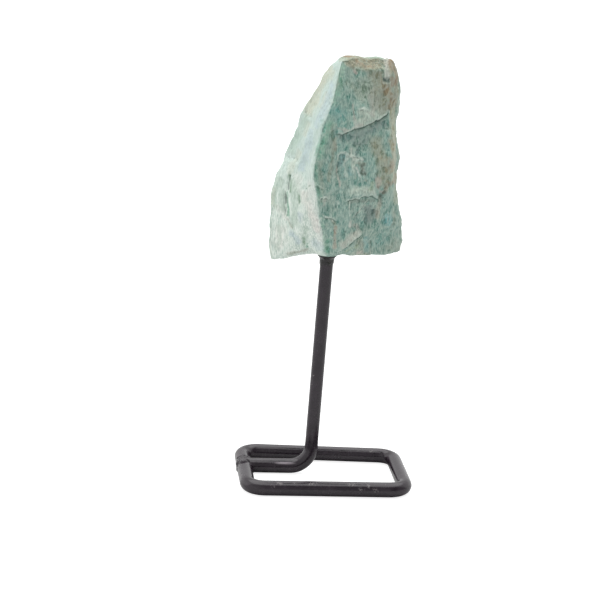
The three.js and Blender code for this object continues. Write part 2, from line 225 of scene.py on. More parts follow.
# The stone. A corner line is sharp (1) or soft (0), and has as many columns as the wall between it
# and the next one. Its points run from the lowest to the highest, as [x, y, z] in millimetres.
# Ledges are edges as [across, z] points: the stone is proud above them by the second number,
# which fades over the height of the third. The fourth is how softly their ends run out, and the
# fifth how much painted shade lies under them. A scoop has a middle, half sizes and a depth.
stoneForm = {
    "rows": 226,
    "capRings": 24,
    "cornerLines": [
        (1, 42, [
            [-2.8, -5.5, 71.8], [-4.3, -8, 79.5], [-5.3, -9.5, 84.9], [-6.1, -10.2, 89.5],
            [-6.8, -10.6, 92.6], [-7.6, -10.8, 95.6], [-7.8, -10.6, 98], [-7.2, -10.2, 101.1],
            [-6.0, -9.4, 105.5], [-5.4, -8.4, 109.9], [-3.8, -7.3, 114.6], [-2.4, -6.4, 118.5],
            [-1.4, -5.4, 124], [-0.3, -4.5, 129.8]]),
        (0, 58, [
            [5.5, -4.5, 71.6], [4.4, -6.4, 79.9], [3.4, -7.5, 90.8], [2.3, -7.6, 101.2],
            [2.3, -6.6, 109.9], [2.9, -5.2, 118.5], [3.4, -3.8, 127.4]]),
        (1, 24, [
            [17, -1, 71.3], [16.6, -2.5, 78], [15.5, -4, 86], [16.1, -4, 94], [15.5, -4, 101],
            [14.7, -3.2, 109.6], [14.9, -2.5, 118.4], [14.2, -1.5, 127.2]]),
        (1, 26, [
            [20.6, 1, 71.5], [21.3, 1.5, 75.5], [20.3, 1.5, 82.5], [19, 2, 87.9],
            [18.7, 3, 92.2], [19.4, 3, 100.5], [17.8, 3, 107.7], [18, 2.5, 114.1],
            [18.5, 2, 120.4], [16.8, 1, 126.4], [15.3, 1, 129.7]]),
        (1, 34, [
            [15.5, 10, 71], [17.5, 12, 80], [15, 13.5, 93], [16, 12, 105], [13.5, 9, 118],
            [12.5, 5, 129.7]]),
        (0, 36, [
            [4, 13.5, 69.8], [5.5, 16.5, 79], [3.5, 17.2, 92], [5, 14, 106], [5.5, 10.5, 119],
            [6, 6, 129.4]]),
        (1, 32, [
            [-9, 13.5, 68.6], [-11.5, 16, 76], [-9.5, 16.5, 91], [-6.5, 13.5, 104],
            [-2.5, 9.5, 117], [1.6, 5.5, 129.9]]),
        (1, 58, [
            [-17.9, 8.7, 65.9], [-18.5, 9, 70.4], [-18.6, 9.5, 82], [-18.3, 9.5, 88.9],
            [-17, 9.2, 93.6], [-15.2, 8.8, 97], [-14.8, 8.8, 99.3], [-13.2, 8.2, 104],
            [-11.5, 7.6, 108.4], [-10.9, 7, 112.1], [-8.5, 6.2, 116.2], [-6.3, 5.4, 120.2],
            [-5.0, 4.6, 123.7], [-2.9, 4.1, 126.8], [0, 3.5, 129.5]]),
        (0, 28, [
            [-8.7, 0, 72.9], [-8.9, -3, 77.9], [-9.4, -5, 85.4], [-9.9, -5, 91.4],
            [-9.3, -4, 98.7], [-8.1, -3.5, 106.1], [-3.4, -2, 120.7], [-0.5, -1, 129.3]]),
    ],
    "frontWalls": [0, 1],
    "backWalls": [4, 5, 6],
    "leftWalls": [7, 8],
    "forwardWalls": [0, 1, 2, 7, 8],
    "frontLedges": [
        ([[-1, 108.9], [0.3, 108.6], [2.2, 109.4], [4.2, 110.2]], 0.6, 9, 1.2, 0.3),
        ([[3.4, 110.1], [6.2, 110.5], [9.3, 111.8], [12.7, 113.5], [14.7, 114.5]], 1.0, 13, 1, 1),
        ([[3, 89.2], [5, 89.7], [6.8, 90.0], [10.5, 90.1], [12.4, 89.7]], 0.8, 8, 1, 0.4),
        ([[-5.6, 89.5], [-4.8, 90.2], [-3, 89.9], [-2.2, 89.7]], 0.4, 5, 0.7, 0.35),
        ([[-3.7, 84.6], [-2.8, 84], [-2.1, 84.2], [-1.3, 83.6], [0, 82.4]], 0.45, 4, 0.6, 0.5),
        ([[3.6, 102.3], [5, 102], [6.3, 101.7], [7.4, 100.8]], 0.35, 4, 0.6, 0.4),
        ([[0.9, 72.6], [2.6, 74.4], [4.4, 76.1], [5.9, 77.3], [7.4, 78.3]], 0.8, 5, 0.7, 0.6),
        ([[5.0, 115.7], [6.4, 116.1], [8.0, 115.6]], 0.2, 2, 0.5, 0.3),
        ([[5.7, 83.4], [6.6, 85.2], [7.9, 87], [9.4, 88.7]], 0.35, 3, 0.6, 0.3),
    ],
    "backLedges": [
        ([[4.5, 101.5], [8, 100.5], [14, 104]], -1.4, 30, 2.5, 0),
        ([[-10, 83], [-4, 81.5], [2, 84]], 1.3, 12, 1.5, 0.6),
        ([[3, 89], [9, 86.5], [15, 88]], 1, 9, 1.5, 0.6),
        ([[0, 114], [5, 116], [10, 115]], 0.9, 8, 1.5, 0.6),
    ],
    "leftLedges": [
        ([[0, 99], [4, 98], [8, 98.6]], -0.6, 16, 1, 0),
        ([[1, 111.5], [6, 112.5]], -0.5, 12, 1, 0),
    ],
    "frontScoops": [([1.4, 99.0], [2.2, 5.4], 0.9), ([8.5, 84.5], [4.2, 5.2], 0.8),
                    ([15, 90.2], [3, 1.6], 0.7), ([7.6, 98], [1.2, 2.0], 0.35)],
    "backScoops": [([8, 109], [4, 5], 0.9), ([-5, 91], [3.5, 6], 1.1),
                   ([11, 79], [3.5, 4.5], 0.9)],
    "leftScoops": [([2, 92.2], [0.75, 3.2], 0.55), ([3.4, 85.4], [0.85, 4.2], 0.6)],
    "scoopEdge": (0.4, 1.2),  # shares of a scoop's size between which it runs out
    "stepWidth": {"front": 0.16, "back": 0.4, "left": 0.7},
    "ledgeJag": 0.5,
    "lip": (0.2, 0.22),  # how far above the edge of a ledge it is, and its half width
    "shadows": [(0.7, -0.7, -0.15), (0.3, -1.8, -0.2)],  # amount, and from where to where
    "calmWidth": 0.16,  # shares of a wall's width and height over which the relief runs out
    "calmRim": 0.05,
    "largeReach": 3,
    "leftReach": 6,
    "leftLarge": 0.6,
    "level": 0.6,  # the share of the large relief that lies under the wall
    "crown": 129.6,
    "crownLine": [[-1, 0], [2, 0.2], [3.4, 0.6], [5.3, 0.5], [7.3, -0.2], [9, 0.2], [10.9, 0.5],
                  [12.8, 0.1], [14.7, 0.4], [16, -0.2]],
    "crownLift": (125, 129),
    "cornerRound": 0.5,
    "ridgeRound": {"columns": 12, "heights": (94, 108), "reach": 8},
    "normalReach": (4, 2),
    "rimFade": 0.07,  # share of the height over which the lower rim's wander and sag run out
    "rimWander": 0.35,
    "rimSag": 1.3,
    "rimRings": 5,
    "rimReach": 4,
    "underCurve": [0.65, 2.5],  # of the underside, where it rises to the hole and where it sinks
    "holeMouth": 70.1,
    "holeEnd": 79.8,
    "holeRadius": 2.4,
    "spotRadius": 3.3,
    "lowest": 66.0,
    "highest": 130.0,
    # the fine relief, the broken crown, and how the marks are laid on
    "fine": {
        "warp": 0.4,
        "level": 0.75,  # as above, for the small flakes
        "crestWidth": 0.07,  # of the pale line between two flakes
        "striaDepth": 0.11,
        "pitDepth": 0.07,
        "edgeWander": 0.2,
        "leftShare": 0.5,
        "leftBlend": {"heights": (84, 98), "high": 3, "low": 8},  # reach of the blur of its border
        "topRings": (-2, 3),  # rings from the upper rim inwards, where the crown's marks begin
        "crownRings": (-3, 2),
        "crownWander": 3,
        "crownRough": 0.45,
        "crownLevel": 0.6,
        "crownSink": 0.25,
        "whole": 0.35,  # how much of a lip is left where it is broken off
        "broken": (-0.3, 0.5),
        "lipRelief": 0.12,
        "underRelief": 0.22,
        # how strongly the lips of ledges get a painted highlight, and the places under them
        # painted shade
        "lipPale": 0.6,
        "underDeep": 0.65,
        "skirtRings": 6,  # from the lower rim inwards, where the relief only sinks
        "holeRings": 4,
        "hollowReach": 3,
        "hollowGain": 3,
        "markWarp": 0.34,
        "markRagged": (0.35, 1.4),
        "markFade": (0.25, 1.35),
        "thinMark": 0.4,  # narrower marks have gaps
        "markGaps": (-0.7, 0.05),
    },
    # noises: size of the cells, salt, octaves, and how much each finer octave counts
    "noise": {
        "jag": ([2.6, 2.6, 9], 31, 4, 0.62),
        "warp": (1.5, 41, 2),
        "stria": ([0.75, 0.75, 3.0], 51, 2),
        "pit": (0.5, 57),
        "edge": (3, 71, 3),
        "rim": ([3.2, 3.2, 40], 73, 3),
        "mark": ([1.3, 1.3, 2.2], 81, 4, 0.6),
        "gap": (0.9, 87),
        "crown": (1.5, 91),
        "broken": (0.9, 95, 2),
    },
    # flakes: size of the cells, lift, tilt, bowl and salt
    "flakes": {
        "large": ([8, 8, 12], 1.1, 0.22, 0.022, 0),
        "small": ([3.2, 3.2, 5.5], 0.42, 0.18, 0.03, 11),
        "tiny": ([1.1, 1.1, 2.2], 0.2, 0.18, 0.05, 23),
        "crown": ([2.2, 2.2, 2.2], 0.9, 0.3, 0.05, 61),
    },
}

# Marks on the faces that look forward: a tint or a relief along a path of [x, z] points.
# Each is (path, half width, {tint: amount}), and a relief in millimetres where it has one.
# Pale lines along the lips of ledges are partly painted highlight, and the deep tint in hollows
# and under ledges is painted shade.
stoneMarks = [
    # strip beside the front ridge
    ([[0.3, 127.7], [0.1, 126.9], [-0.2, 125.7]], 1.0, {"moss": 1.0}),
    ([[-0.4, 124.5], [-0.7, 122.6], [-1.2, 120.3]], 1.0, {"fern": 0.9}),
    ([[-1.4, 119.8], [-2.1, 117.5]], 0.9, {"fern": 0.6}),
    ([[-2.9, 118.2], [-2.4, 118.0]], 0.5, {"pale": 0.5}),
    ([[-3.3, 111.8], [-4.1, 109.5], [-4.9, 106.5], [-5.8, 102.6]], 1.3, {"fern": 1.0}),
    ([[-6.6, 100], [-6.4, 96], [-5.6, 92.5], [-4.9, 88.5]], 0.9, {"fern": 0.6}),
    ([[-5.4, 100.5], [-5.4, 97], [-4.6, 92]], 1.1, {"olive": 0.4}),
    ([[-4.3, 84.5], [-3.8, 81]], 0.6, {"moss": 0.5}),
    ([[-3.3, 79.5], [-2.9, 76], [-2.6, 73.2]], 0.5, {"moss": 0.6}),
    # front face, upper half
    ([[-1.3, 115.2], [-0.2, 114.2], [0.6, 114.9]], 1.9, {"teal": 0.85}),
    ([[-2.6, 111], [-2.4, 107.1], [-1.8, 104.2]], 1.1, {"olive": 0.55}),
    ([[-1.9, 104], [-2.2, 99.8], [-2.6, 95.4]], 0.7, {"olive": 0.6}),
    ([[-1.5, 107.5], [-1.1, 104.5]], 0.7, {"iron": 0.35}),
    ([[5.0, 116.0], [6.4, 116.2], [7.4, 115.9]], 0.26, {"pale": 1.0}, 0.1),
    ([[5.6, 114.9], [8.4, 114.6]], 1.3, {"mist": 0.8}),
    ([[8.9, 119.5], [8.8, 116.9], [9.2, 114.2]], 1.1, {"blush": 0.45}),
    ([[3.4, 117.2], [3.7, 114.4], [3.8, 111.8]], 0.4, {"blush": 0.55}),
    ([[6, 112.6], [9, 113.2], [12, 115]], 1.3, {"mist": 0.75}),
    ([[-0.5, 110.4], [1.7, 109.5], [4.2, 110.9], [6, 111.1]], 0.6, {"blush": 0.7}),
    ([[7.5, 111.5], [9.3, 112.2], [12.7, 113.9], [14.4, 114.9]], 0.22, {"pale": 0.8}, 0.05),
    ([[14.2, 115.2], [14.9, 114.9]], 0.4, {"pale": 0.8}, 0.1),
    ([[2.4, 128.9], [6, 128.4], [11, 128]], 1.1, {"bark": 0.7}),
    ([[3.7, 126.6], [4.1, 126.1]], 0.45, {"blush": 0.9}, 0.05),
    ([[4, 127.3], [7, 127.2], [10.5, 126.2]], 0.8, {"olive": 0.6}),
    ([[9.8, 125.2], [12.2, 121.5], [13.2, 116.5]], 2.4, {"olive": 0.95}),
    ([[12.3, 122.5], [13.9, 120.8], [15.3, 118.3]], 1.3, {"bark": 0.6}),
    ([[9.5, 121], [10.6, 118.5], [10.2, 116]], 1.1, {"olive": 0.6, "blush": 0.2}),
    ([[14.1, 128.4], [14.3, 126.5]], 0.7, {"tan": 0.9}),
    ([[14.8, 128.9], [15.9, 126.9], [16.5, 123.5]], 1.1, {"iron": 0.9, "bark": 0.4}),
    ([[16.4, 123], [16.6, 119.5], [16.0, 116.5]], 0.9, {"bark": 0.8}),
    ([[15.3, 124.4], [15.5, 122.7]], 0.9, {"iron": 1.0, "deep": 0.3}, -0.1),
    ([[13.8, 122], [14.6, 119.5], [15.2, 116.5]], 1.4, {"olive": 0.85, "iron": 0.35}),
    ([[11.6, 126.4], [11.8, 124.4], [12.2, 123.4]], 0.6, {"bark": 0.8}),
    ([[2.1, 128.5], [2.7, 127.7], [3.4, 127.2]], 0.4, {"bark": 0.8, "deep": 0.4}, -0.15),
    ([[13.1, 129.2], [13.3, 127.1], [13.4, 125.2]], 0.75, {"blush": 0.75, "pale": 0.3}, 0.2),
    ([[13.0, 124.3], [13.8, 124.1]], 0.7, {"slate": 0.9, "deep": 0.6}, -0.35),
    # front face, middle
    ([[0.6, 107.8], [4, 108.2], [8, 109.2], [12.5, 111.3]], 1.7, {"slate": 0.8}),
    ([[4.4, 105.8], [6.6, 106.2], [8.6, 107]], 1.0, {"slate": 0.6, "deep": 0.2}),
    ([[1.2, 102.3], [1.2, 101.1], [1.1, 99.9]], 1.25, {"azure": 1.0, "deep": 0.2}, -0.3),
    ([[1.8, 99], [1.5, 96.2]], 1.0, {"teal": 0.7}, -0.15),
    ([[-0.1, 101.2], [-0.2, 102.6], [0.5, 103.3], [1.5, 103.4], [2.4, 102.8], [2.4, 101.6],
      [1.8, 100.2], [1.7, 99.3]],
     0.42, {"pale": 0.75}, 0.12),
    ([[-0.2, 100.3], [-0.3, 97.3], [0.7, 94.9], [0.7, 93.4]], 0.26, {"blush": 0.8}, 0.05),
    ([[1.9, 99.8], [2.3, 98.4], [2.5, 96.6]], 0.42, {"pale": 0.6}, 0.06),
    ([[3.2, 98.4], [3.7, 96.9]], 0.5, {"azure": 0.8, "deep": 0.25}, -0.1),
    ([[3.4, 104.3], [3.5, 102.6]], 0.5, {"blush": 0.5}),
    ([[5.4, 104], [4.8, 103]], 0.7, {"slate": 0.7}, -0.05),
    ([[4.6, 100.9], [5.6, 100.2], [6.6, 100.4]], 0.6, {"mist": 0.75}, 0.03),
    ([[3.6, 102.6], [4.4, 101.6], [5.3, 101.3], [6.2, 101.5], [7.0, 101.1]],
     0.45, {"pale": 1.0}, 0.15),
    ([[4.3, 101], [4.4, 99.2], [4.9, 97.4]], 0.55, {"mist": 0.8}, 0.05),
    # painted highlight on the raised edge of a chip
    ([[5.2, 98.9], [5.8, 98], [6.2, 96.7], [6.9, 95.4]], 0.46, {"bright": 0.85}, 0.2),
    ([[4.7, 97.6], [5.3, 96]], 0.6, {"mist": 0.6}),
    ([[6.1, 100.1], [6.8, 99.4], [7.6, 99.7]], 0.6, {"olive": 0.7, "deep": 0.3}, -0.15),
    ([[6.9, 98.6], [7.4, 97.9]], 0.7, {"olive": 0.45, "blush": 0.3}, -0.1),
    ([[6.8, 97.5], [7.4, 96.8], [8.1, 96.8]], 0.75, {"deep": 0.75, "bark": 0.4}, -0.35),
    ([[8.1, 95.2], [8.5, 94.8]], 0.4, {"olive": 0.8}),
    ([[10.1, 94.0], [10.0, 92.5]], 0.9, {"leaf": 0.7}),
    ([[3.8, 96.5], [5.2, 97.0]], 1.0, {"teal": 0.4}),
    ([[10.9, 105.5], [12, 103], [14.2, 98.5], [14.3, 95]], 2.4, {"olive": 0.45, "tan": 0.55}),
    ([[12.2, 101.8], [14.0, 100.4], [14.6, 97.6]], 0.9, {"tan": 0.9}),
    ([[15.4, 101.2], [16.4, 99.4], [15.8, 97.4]], 1.0, {"iron": 0.55, "bark": 0.4}),
    ([[15.6, 106.5], [16.2, 104]], 0.9, {"tan": 0.7, "iron": 0.25}),
    ([[12.0, 95.0], [12.1, 92.7]], 0.95, {"blush": 0.75, "iron": 0.25}),
    ([[18.6, 94.6], [17.4, 94], [15.6, 93.6]], 1.0, {"iron": 0.5, "bark": 0.45}, -0.1),
    ([[18.2, 95], [17.9, 91], [18.6, 87.5]], 1.1, {"tan": 0.5}),
    ([[15.4, 93.3], [14.9, 92.2], [14.2, 90.8]], 0.55, {"iron": 0.7, "deep": 0.25}, -0.2),
    ([[14.1, 90.9], [13.0, 91.5]], 0.6, {"blush": 0.7}),
    ([[13.1, 89.6], [13.2, 87.8]], 0.8, {"olive": 0.6, "deep": 0.35}, -0.1),
    ([[13.0, 87.6], [12.8, 86.2], [12.7, 83.6]], 0.7, {"tan": 0.4, "blush": 0.3}),
    ([[15.7, 92.0], [16.4, 92.2]], 0.8, {"reed": 0.85}),
    ([[-7.6, 94.4], [-6.6, 94.7], [-5.4, 93.7], [-4.2, 92.8]], 0.22, {"pale": 0.65}, 0.06),
    ([[-7.2, 93.5], [-6.4, 93.7], [-5.2, 92.8]], 0.3, {"deep": 0.6}, -0.08),
    # front face, lower half
    ([[4.4, 91.9], [6.0, 92.5], [8.4, 92.3], [10.6, 91.6]], 1.3, {"mist": 0.9}),
    ([[4.0, 90.4], [5.3, 90.9], [8.1, 91.1], [11.5, 90.8]], 0.4, {"pale": 0.45}),
    # painted shade under the ledge above it
    ([[3.9, 88.5], [6.2, 88.9], [8.7, 88.9], [11.4, 88.8]], 0.7, {"deep": 0.5, "olive": 0.3}),
    ([[9.8, 86], [11.2, 84.6], [10.2, 83]], 1.6, {"slate": 0.9, "deep": 0.2}, -0.2),
    ([[11.7, 85.5], [11.6, 84.6]], 0.4, {"deep": 0.9}, -0.1),
    ([[8.8, 88.4], [9.5, 88.2], [8.6, 87.4], [7.5, 86.3], [6.7, 84.7]],
     0.3, {"mist": 0.95, "pale": 0.3}, 0.06),
    ([[-5.1, 89.5], [-4.8, 90.1], [-4.2, 90.1], [-3.2, 90.5]], 0.3, {"pale": 0.95}, 0.05),
    ([[-4.6, 88.9], [-3.4, 89.2], [-3.6, 87.6]], 0.6, {"blush": 0.5}),
    ([[-3.9, 84.6], [-3.4, 84.4], [-2.8, 84.0], [-2.2, 83.8], [-1.4, 83.9]],
     0.32, {"pale": 1.0}, 0.06),
    ([[-1.1, 83.3], [-0.5, 82.2]], 0.28, {"pale": 0.9}, 0.05),
    ([[0.0, 80.8], [0.0, 77.8], [0.1, 74.3]], 0.55, {"blush": 0.55, "iron": 0.5}, -0.05),
    ([[-0.9, 83], [0.2, 80.8]], 0.6, {"olive": 0.7}),
    ([[-2.1, 76.6], [-1.9, 72.9]], 0.75, {"fern": 0.9}, -0.1),
    ([[7.0, 78.2], [6.3, 77.6], [4.9, 76.4], [2.6, 74.3], [1.2, 72.8]],
     0.26, {"pale": 0.7}, 0.06),
    ([[6.4, 79.2], [5.0, 78.2], [3.4, 76.9], [2.2, 75.6]],
     1.1, {"mist": 0.8, "blush": 0.45}, 0.1),
    ([[5.6, 81.3], [6.6, 80.6]], 0.9, {"blush": 0.5}),
    ([[7.2, 78.9], [7.5, 78.5]], 0.35, {"pale": 1.0}, 0.05),
    ([[6.8, 74.9], [4.7, 74.4], [3.6, 73.4]], 0.8, {"leaf": 0.85}, -0.1),
    ([[16.1, 83.2], [16.3, 82.2]], 1.5, {"azure": 0.9}),
    ([[10.1, 73.3], [9.6, 76.6]], 1.2, {"azure": 0.5, "teal": 0.4}),
    ([[13.4, 75.5], [17.6, 79]], 2.4, {"teal": 0.45}),
    ([[4.0, 89.2], [4.0, 87.1], [4.2, 83.9], [4.5, 81]], 0.24, {"pale": 0.8}, 0.06),
    ([[4.4, 82.6], [4.5, 81]], 0.4, {"blush": 0.8}, 0.04),
    ([[0.4, 89], [0.5, 84.6]], 0.24, {"pale": 0.5}, 0.03),
    ([[7.3, 72.7], [8.5, 72.7]], 0.6, {"blush": 0.8}),
    # narrow face at the right
    ([[16.2, 117], [16.2, 108], [17, 99], [17.2, 95.5]], 1.3, {"tan": 0.85}),
    ([[17.2, 127], [18.5, 120.4], [17.9, 114.1], [17.8, 107.7], [19.4, 100.5]],
     0.45, {"pale": 0.9}),
    # left face
    ([[-13.2, 94], [-13.1, 91.3], [-13.3, 89.4]], 0.4, {"reed": 0.9}, -0.15),
    ([[-15.4, 92], [-15.8, 87.5], [-15.6, 83]], 0.8, {"sage": 0.7}),
    ([[-12.3, 82.5], [-12.0, 79]], 0.8, {"sage": 0.7}),
    ([[-14.3, 88.8], [-14.2, 86.2], [-13.8, 83.8], [-13.7, 82]],
     0.5, {"fern": 1.0, "reed": 0.35}, -0.2),
    ([[-13.6, 80.8], [-13.0, 79.4], [-12.4, 78.4]], 0.3, {"olive": 0.6}, -0.1),
    ([[-11, 90.1], [-10.6, 87.7], [-10.3, 85.3]], 0.22, {"reed": 0.7}, -0.12),
    ([[-10.1, 99.7], [-10.5, 97.2]], 0.9, {"sky": 0.6}),
    ([[-10.2, 84], [-10.2, 81.8]], 0.8, {"sky": 0.5, "rose": 0.3}),
    ([[-12.2, 76.6], [-11.1, 75.8], [-10.4, 74.3]], 1.1, {"sky": 0.6}),
    ([[-6.0, 75], [-4.2, 74.2]], 1.6, {"sky": 0.45}),
    ([[-11.3, 94.2], [-11.2, 91]], 1.2, {"rose": 0.35}),
    ([[-9.6, 90.5], [-9.0, 88.7], [-8.0, 86.2], [-6.5, 82.8], [-5.5, 80]],
     1.3, {"rose": 0.6}, 0.1),
    ([[-15.5, 76.4], [-15.9, 72]], 2.0, {"rose": 0.45}),
    ([[-14.6, 81.5], [-16, 83]], 1.4, {"rose": 0.4}),
    ([[-8.9, 76.3], [-8.7, 73.9]], 0.36, {"reed": 0.8}, -0.12),
    ([[-7.7, 74.5], [-7.6, 72.6]], 0.34, {"fern": 0.9}, -0.1),
    ([[-12.6, 92.5], [-11.6, 88.5], [-12, 84.5], [-11.4, 80.5]], 1.5, {"sage": 0.6}),
    ([[-16.6, 92], [-17.2, 88], [-17.6, 83]], 0.8, {"sage": 0.6}),
    ([[-8.6, 79.5], [-8.6, 76], [-8.4, 73.2]], 1.0, {"sage": 0.6}),
    ([[-12.7, 69.8], [-9.9, 70.9], [-7.4, 71.9]], 0.6, {"olive": 0.6}),
    ([[-16.6, 70.4], [-15.6, 74], [-16.2, 78]], 0.7, {"sage": 0.5}),
    ([[-9.2, 92.0], [-8.6, 93.0], [-8.0, 93.6]], 0.2, {"reed": 0.6}, -0.1),
    # painted light: a brighter band beside the ridge, low on the left face
    ([[-8.0, 94], [-7.6, 89], [-6.4, 84.5], [-5.2, 80], [-4.2, 76]], 1.2, {"bright": 0.6}),
    ([[-3.2, 126], [-5.2, 122], [-7.2, 117.5], [-9, 113]], 1.4, {"straw": 0.75}),
    ([[-3.9, 119.5], [-5.2, 115.5]], 0.8, {"straw": 0.45}),
    ([[-2.6, 122.5], [-3.4, 119], [-5.0, 114.4], [-6.6, 110.5]], 0.8, {"sky": 0.6}),
    ([[-7.8, 108.5], [-8.8, 104], [-9.6, 100]], 0.9, {"sky": 0.5}),
    ([[-9.5, 111.5], [-10.8, 108], [-12.2, 104], [-13.4, 100.5]], 0.9, {"sage": 0.6}),
    ([[-8.6, 110], [-9.8, 106.5]], 0.7, {"straw": 0.4}),
    ([[-11.2, 101.5], [-12.4, 97.5], [-13.4, 95]], 0.8, {"straw": 0.4}),
    ([[-17.4, 88.5], [-18.0, 84]], 0.7, {"straw": 0.6}),
]
# Marks on the top, along paths of [x, y] points.
crownMarks = [
    ([[2.5, 3.8], [6, 1.5], [9, -0.5]], 2.4, {"bark": 0.75}),
    ([[1.2, 4.8], [2.8, 3.4]], 1.0, {"iron": 0.6, "blush": 0.4}),
    ([[4.5, -1], [8, -1.5]], 0.9, {"iron": 0.4}),
    ([[9.6, 4.4], [12.2, 3.6]], 1.4, {"sage": 1.0}, 0.1),
    ([[0, 1], [0.4, -2.5]], 0.8, {"mist": 0.6}),
    ([[13.2, 2.5], [13.3, -0.5]], 0.8, {"blush": 0.7, "pale": 0.3}, 0.15),
    ([[10, 0.2], [12, 0.4]], 1.1, {"bark": 0.6}),
]
# Tints of the marks, laid over the stone in this order. The first and brightest is painted light,
# the pale tint is partly the stone's pale veins and partly painted highlight on lips and crests,
# and the deep tint is painted shade in hollows and under ledges.
tints = {
    "bright": (0.72, 0.74, 0.70),
    "rose": (0.73, 0.705, 0.65),
    "straw": (0.53, 0.54, 0.41),
    "sage": (0.35, 0.475, 0.385),
    "mist": (0.53, 0.62, 0.52),
    "slate": (0.125, 0.215, 0.20),
    "tan": (0.385, 0.355, 0.22),
    "olive": (0.195, 0.205, 0.13),
    "sky": (0.40, 0.52, 0.57),
    "blush": (0.50, 0.445, 0.39),
    "leaf": (0.25, 0.36, 0.22),
    "fern": (0.13, 0.36, 0.25),
    "moss": (0.31, 0.535, 0.41),
    "teal": (0.105, 0.33, 0.295),
    "azure": (0.12, 0.39, 0.39),
    "reed": (0.15, 0.28, 0.17),
    "bark": (0.25, 0.22, 0.13),
    "iron": (0.30, 0.18, 0.085),
    "deep": (0.06, 0.105, 0.085),
    "pale": (0.60, 0.69, 0.61),
}


def stoneNoise(name, points):
    return roughDrift(points, *stoneForm["noise"][name])


def stoneFlakes(name, points):
    return flakes(points, *stoneForm["flakes"][name])


def cornerPlaces(line, shares):
    line = np.array(line, float)
    heights = line[0, 2] + shares * (line[-1, 2] - line[0, 2])
    places = [np.interp(heights, line[:, 2], line[:, axis]) for axis in range(2)]
    return np.stack([*places, heights], axis=1)


def ledgeHeights(ledge, across, height, points, width):
    # how proud the stone is at a place over a ledge, its lip, and the shadow under it
    edge, proud, fade, ends, dark = ledge
    edge = np.array(edge, float)
    jag = stoneForm["ledgeJag"] * stoneNoise("jag", points)
    above = height - np.interp(across, edge[:, 0], edge[:, 1]) - jag
    inside = smooth(edge[0, 0] - ends, edge[0, 0] + ends, across)
    inside = inside * (1 - smooth(edge[-1, 0] - ends, edge[-1, 0] + ends, across))
    step = smooth(-width, width, above) * (1 - smooth(0, fade, above))
    lipAt, lipWidth = stoneForm["lip"]
    lip = inside * np.exp(-((above - lipAt) / lipWidth) ** 2)
    under = sum(amount * smooth(low, high, above) for amount, low, high in stoneForm["shadows"])
    under = inside * under * (1 - smooth(-width, width, above))
    return proud * step * inside, lip * np.clip(proud, 0, 1), under * dark


def scoopDepth(scoop, across, height):
    at, half, deep = scoop
    away = np.hypot((across - at[0]) / half[0], (height - at[1]) / half[1])
    return -deep * (1 - smooth(*stoneForm["scoopEdge"], away))


def pathDistance(path, across, height):
    path = np.array(path, float)
    nearest = np.full(across.shape, np.inf)
    for start, end in zip(path[:-1], path[1:]):
        span = end - start
        share = ((across - start[0]) * span[0] + (height - start[1]) * span[1]) / (span @ span)
        share = np.clip(share, 0, 1)
        away = np.hypot(across - start[0] - share * span[0], height - start[1] - share * span[1])
        nearest = np.minimum(nearest, away)
    return nearest


def stoneWalls():
    # rows of points up the walls, and for each column its wall and how far across that it is
    lines = stoneForm["cornerLines"]
    shares = np.arange(stoneForm["rows"] + 1) / stoneForm["rows"]
    corners = [cornerPlaces(line, shares) for sharp, columns, line in lines]
    points, wall, across = [], [], []
    for index, (sharp, columns, line) in enumerate(lines):
        start, end = corners[index], corners[(index + 1) % len(lines)]
        for share in np.arange(columns) / columns:
            points.append(start + share * (end - start))
            wall.append(index)
            across.append(share)
    return np.stack(points, axis=1), np.array(wall), np.array(across)


def stoneSkin():
    # rings of points from the hole out to the lower rim, up the walls and in over the top,
    # with rounded rims and corners
    form = stoneForm
    walls, wall, across = stoneWalls()
    shares = (np.arange(len(walls)) / (len(walls) - 1))[:, None]
    edge = 1 - smooth(0, form["rimFade"], shares)
    walls[..., 2] += form["rimWander"] * edge * stoneNoise("rim", walls)
    sag = np.where(wall == form["leftWalls"][0], np.sin(math.pi * across), 0)
    walls[..., 2] -= form["rimSag"] * edge * sag
    low, high = walls[0], walls[-1]
    steps = (np.arange(1, form["capRings"]) / form["capRings"])[:, None, None]
    mouth = holeRing(low, form["holeMouth"], form["spotRadius"])
    below = low + steps * (mouth - low)
    power = np.where(low[:, 2] < form["holeMouth"], *form["underCurve"])
    below[..., 2] = low[:, 2] + steps[..., 0] ** power * (mouth[:, 2] - low[:, 2])
    middle = high.mean(axis=0)
    middle[2] = form["crown"]
    above = high + steps * (middle - high)
    skin = np.concatenate([below[::-1], walls, above])
    first, last = len(below), len(below) + len(walls) - 1
    ring = np.arange(len(skin))[:, None]
    column = np.arange(len(wall))[None]
    skin = skin + form["cornerRound"] * (blurAlong(skin, 1, 1) - skin)
    ridge = form["ridgeRound"]
    near = np.exp(-(np.minimum(column, len(wall) - column) / ridge["columns"]) ** 2)
    near = near * (1 - smooth(*ridge["heights"], skin[..., 2]))
    skin = skin + near[..., None] * (blurAlong(skin, 1, ridge["reach"]) - skin)
    for rim in (first, last):
        near = np.exp(-((ring - rim) / form["rimRings"]) ** 2)[..., None]
        skin = skin + near * (blurAlong(skin, 0, form["rimReach"]) - skin)
    return skin, wall, across, first, last, mouth, middle


def skinNormals(skin):
    around = np.roll(skin, -1, axis=1) - np.roll(skin, 1, axis=1)
    normal = np.cross(around, np.gradient(skin, axis=0))
    normal /= np.linalg.norm(normal, axis=2)[..., None]
    normal = blur(normal, *stoneForm["normalReach"])
    return normal / np.linalg.norm(normal, axis=2)[..., None]


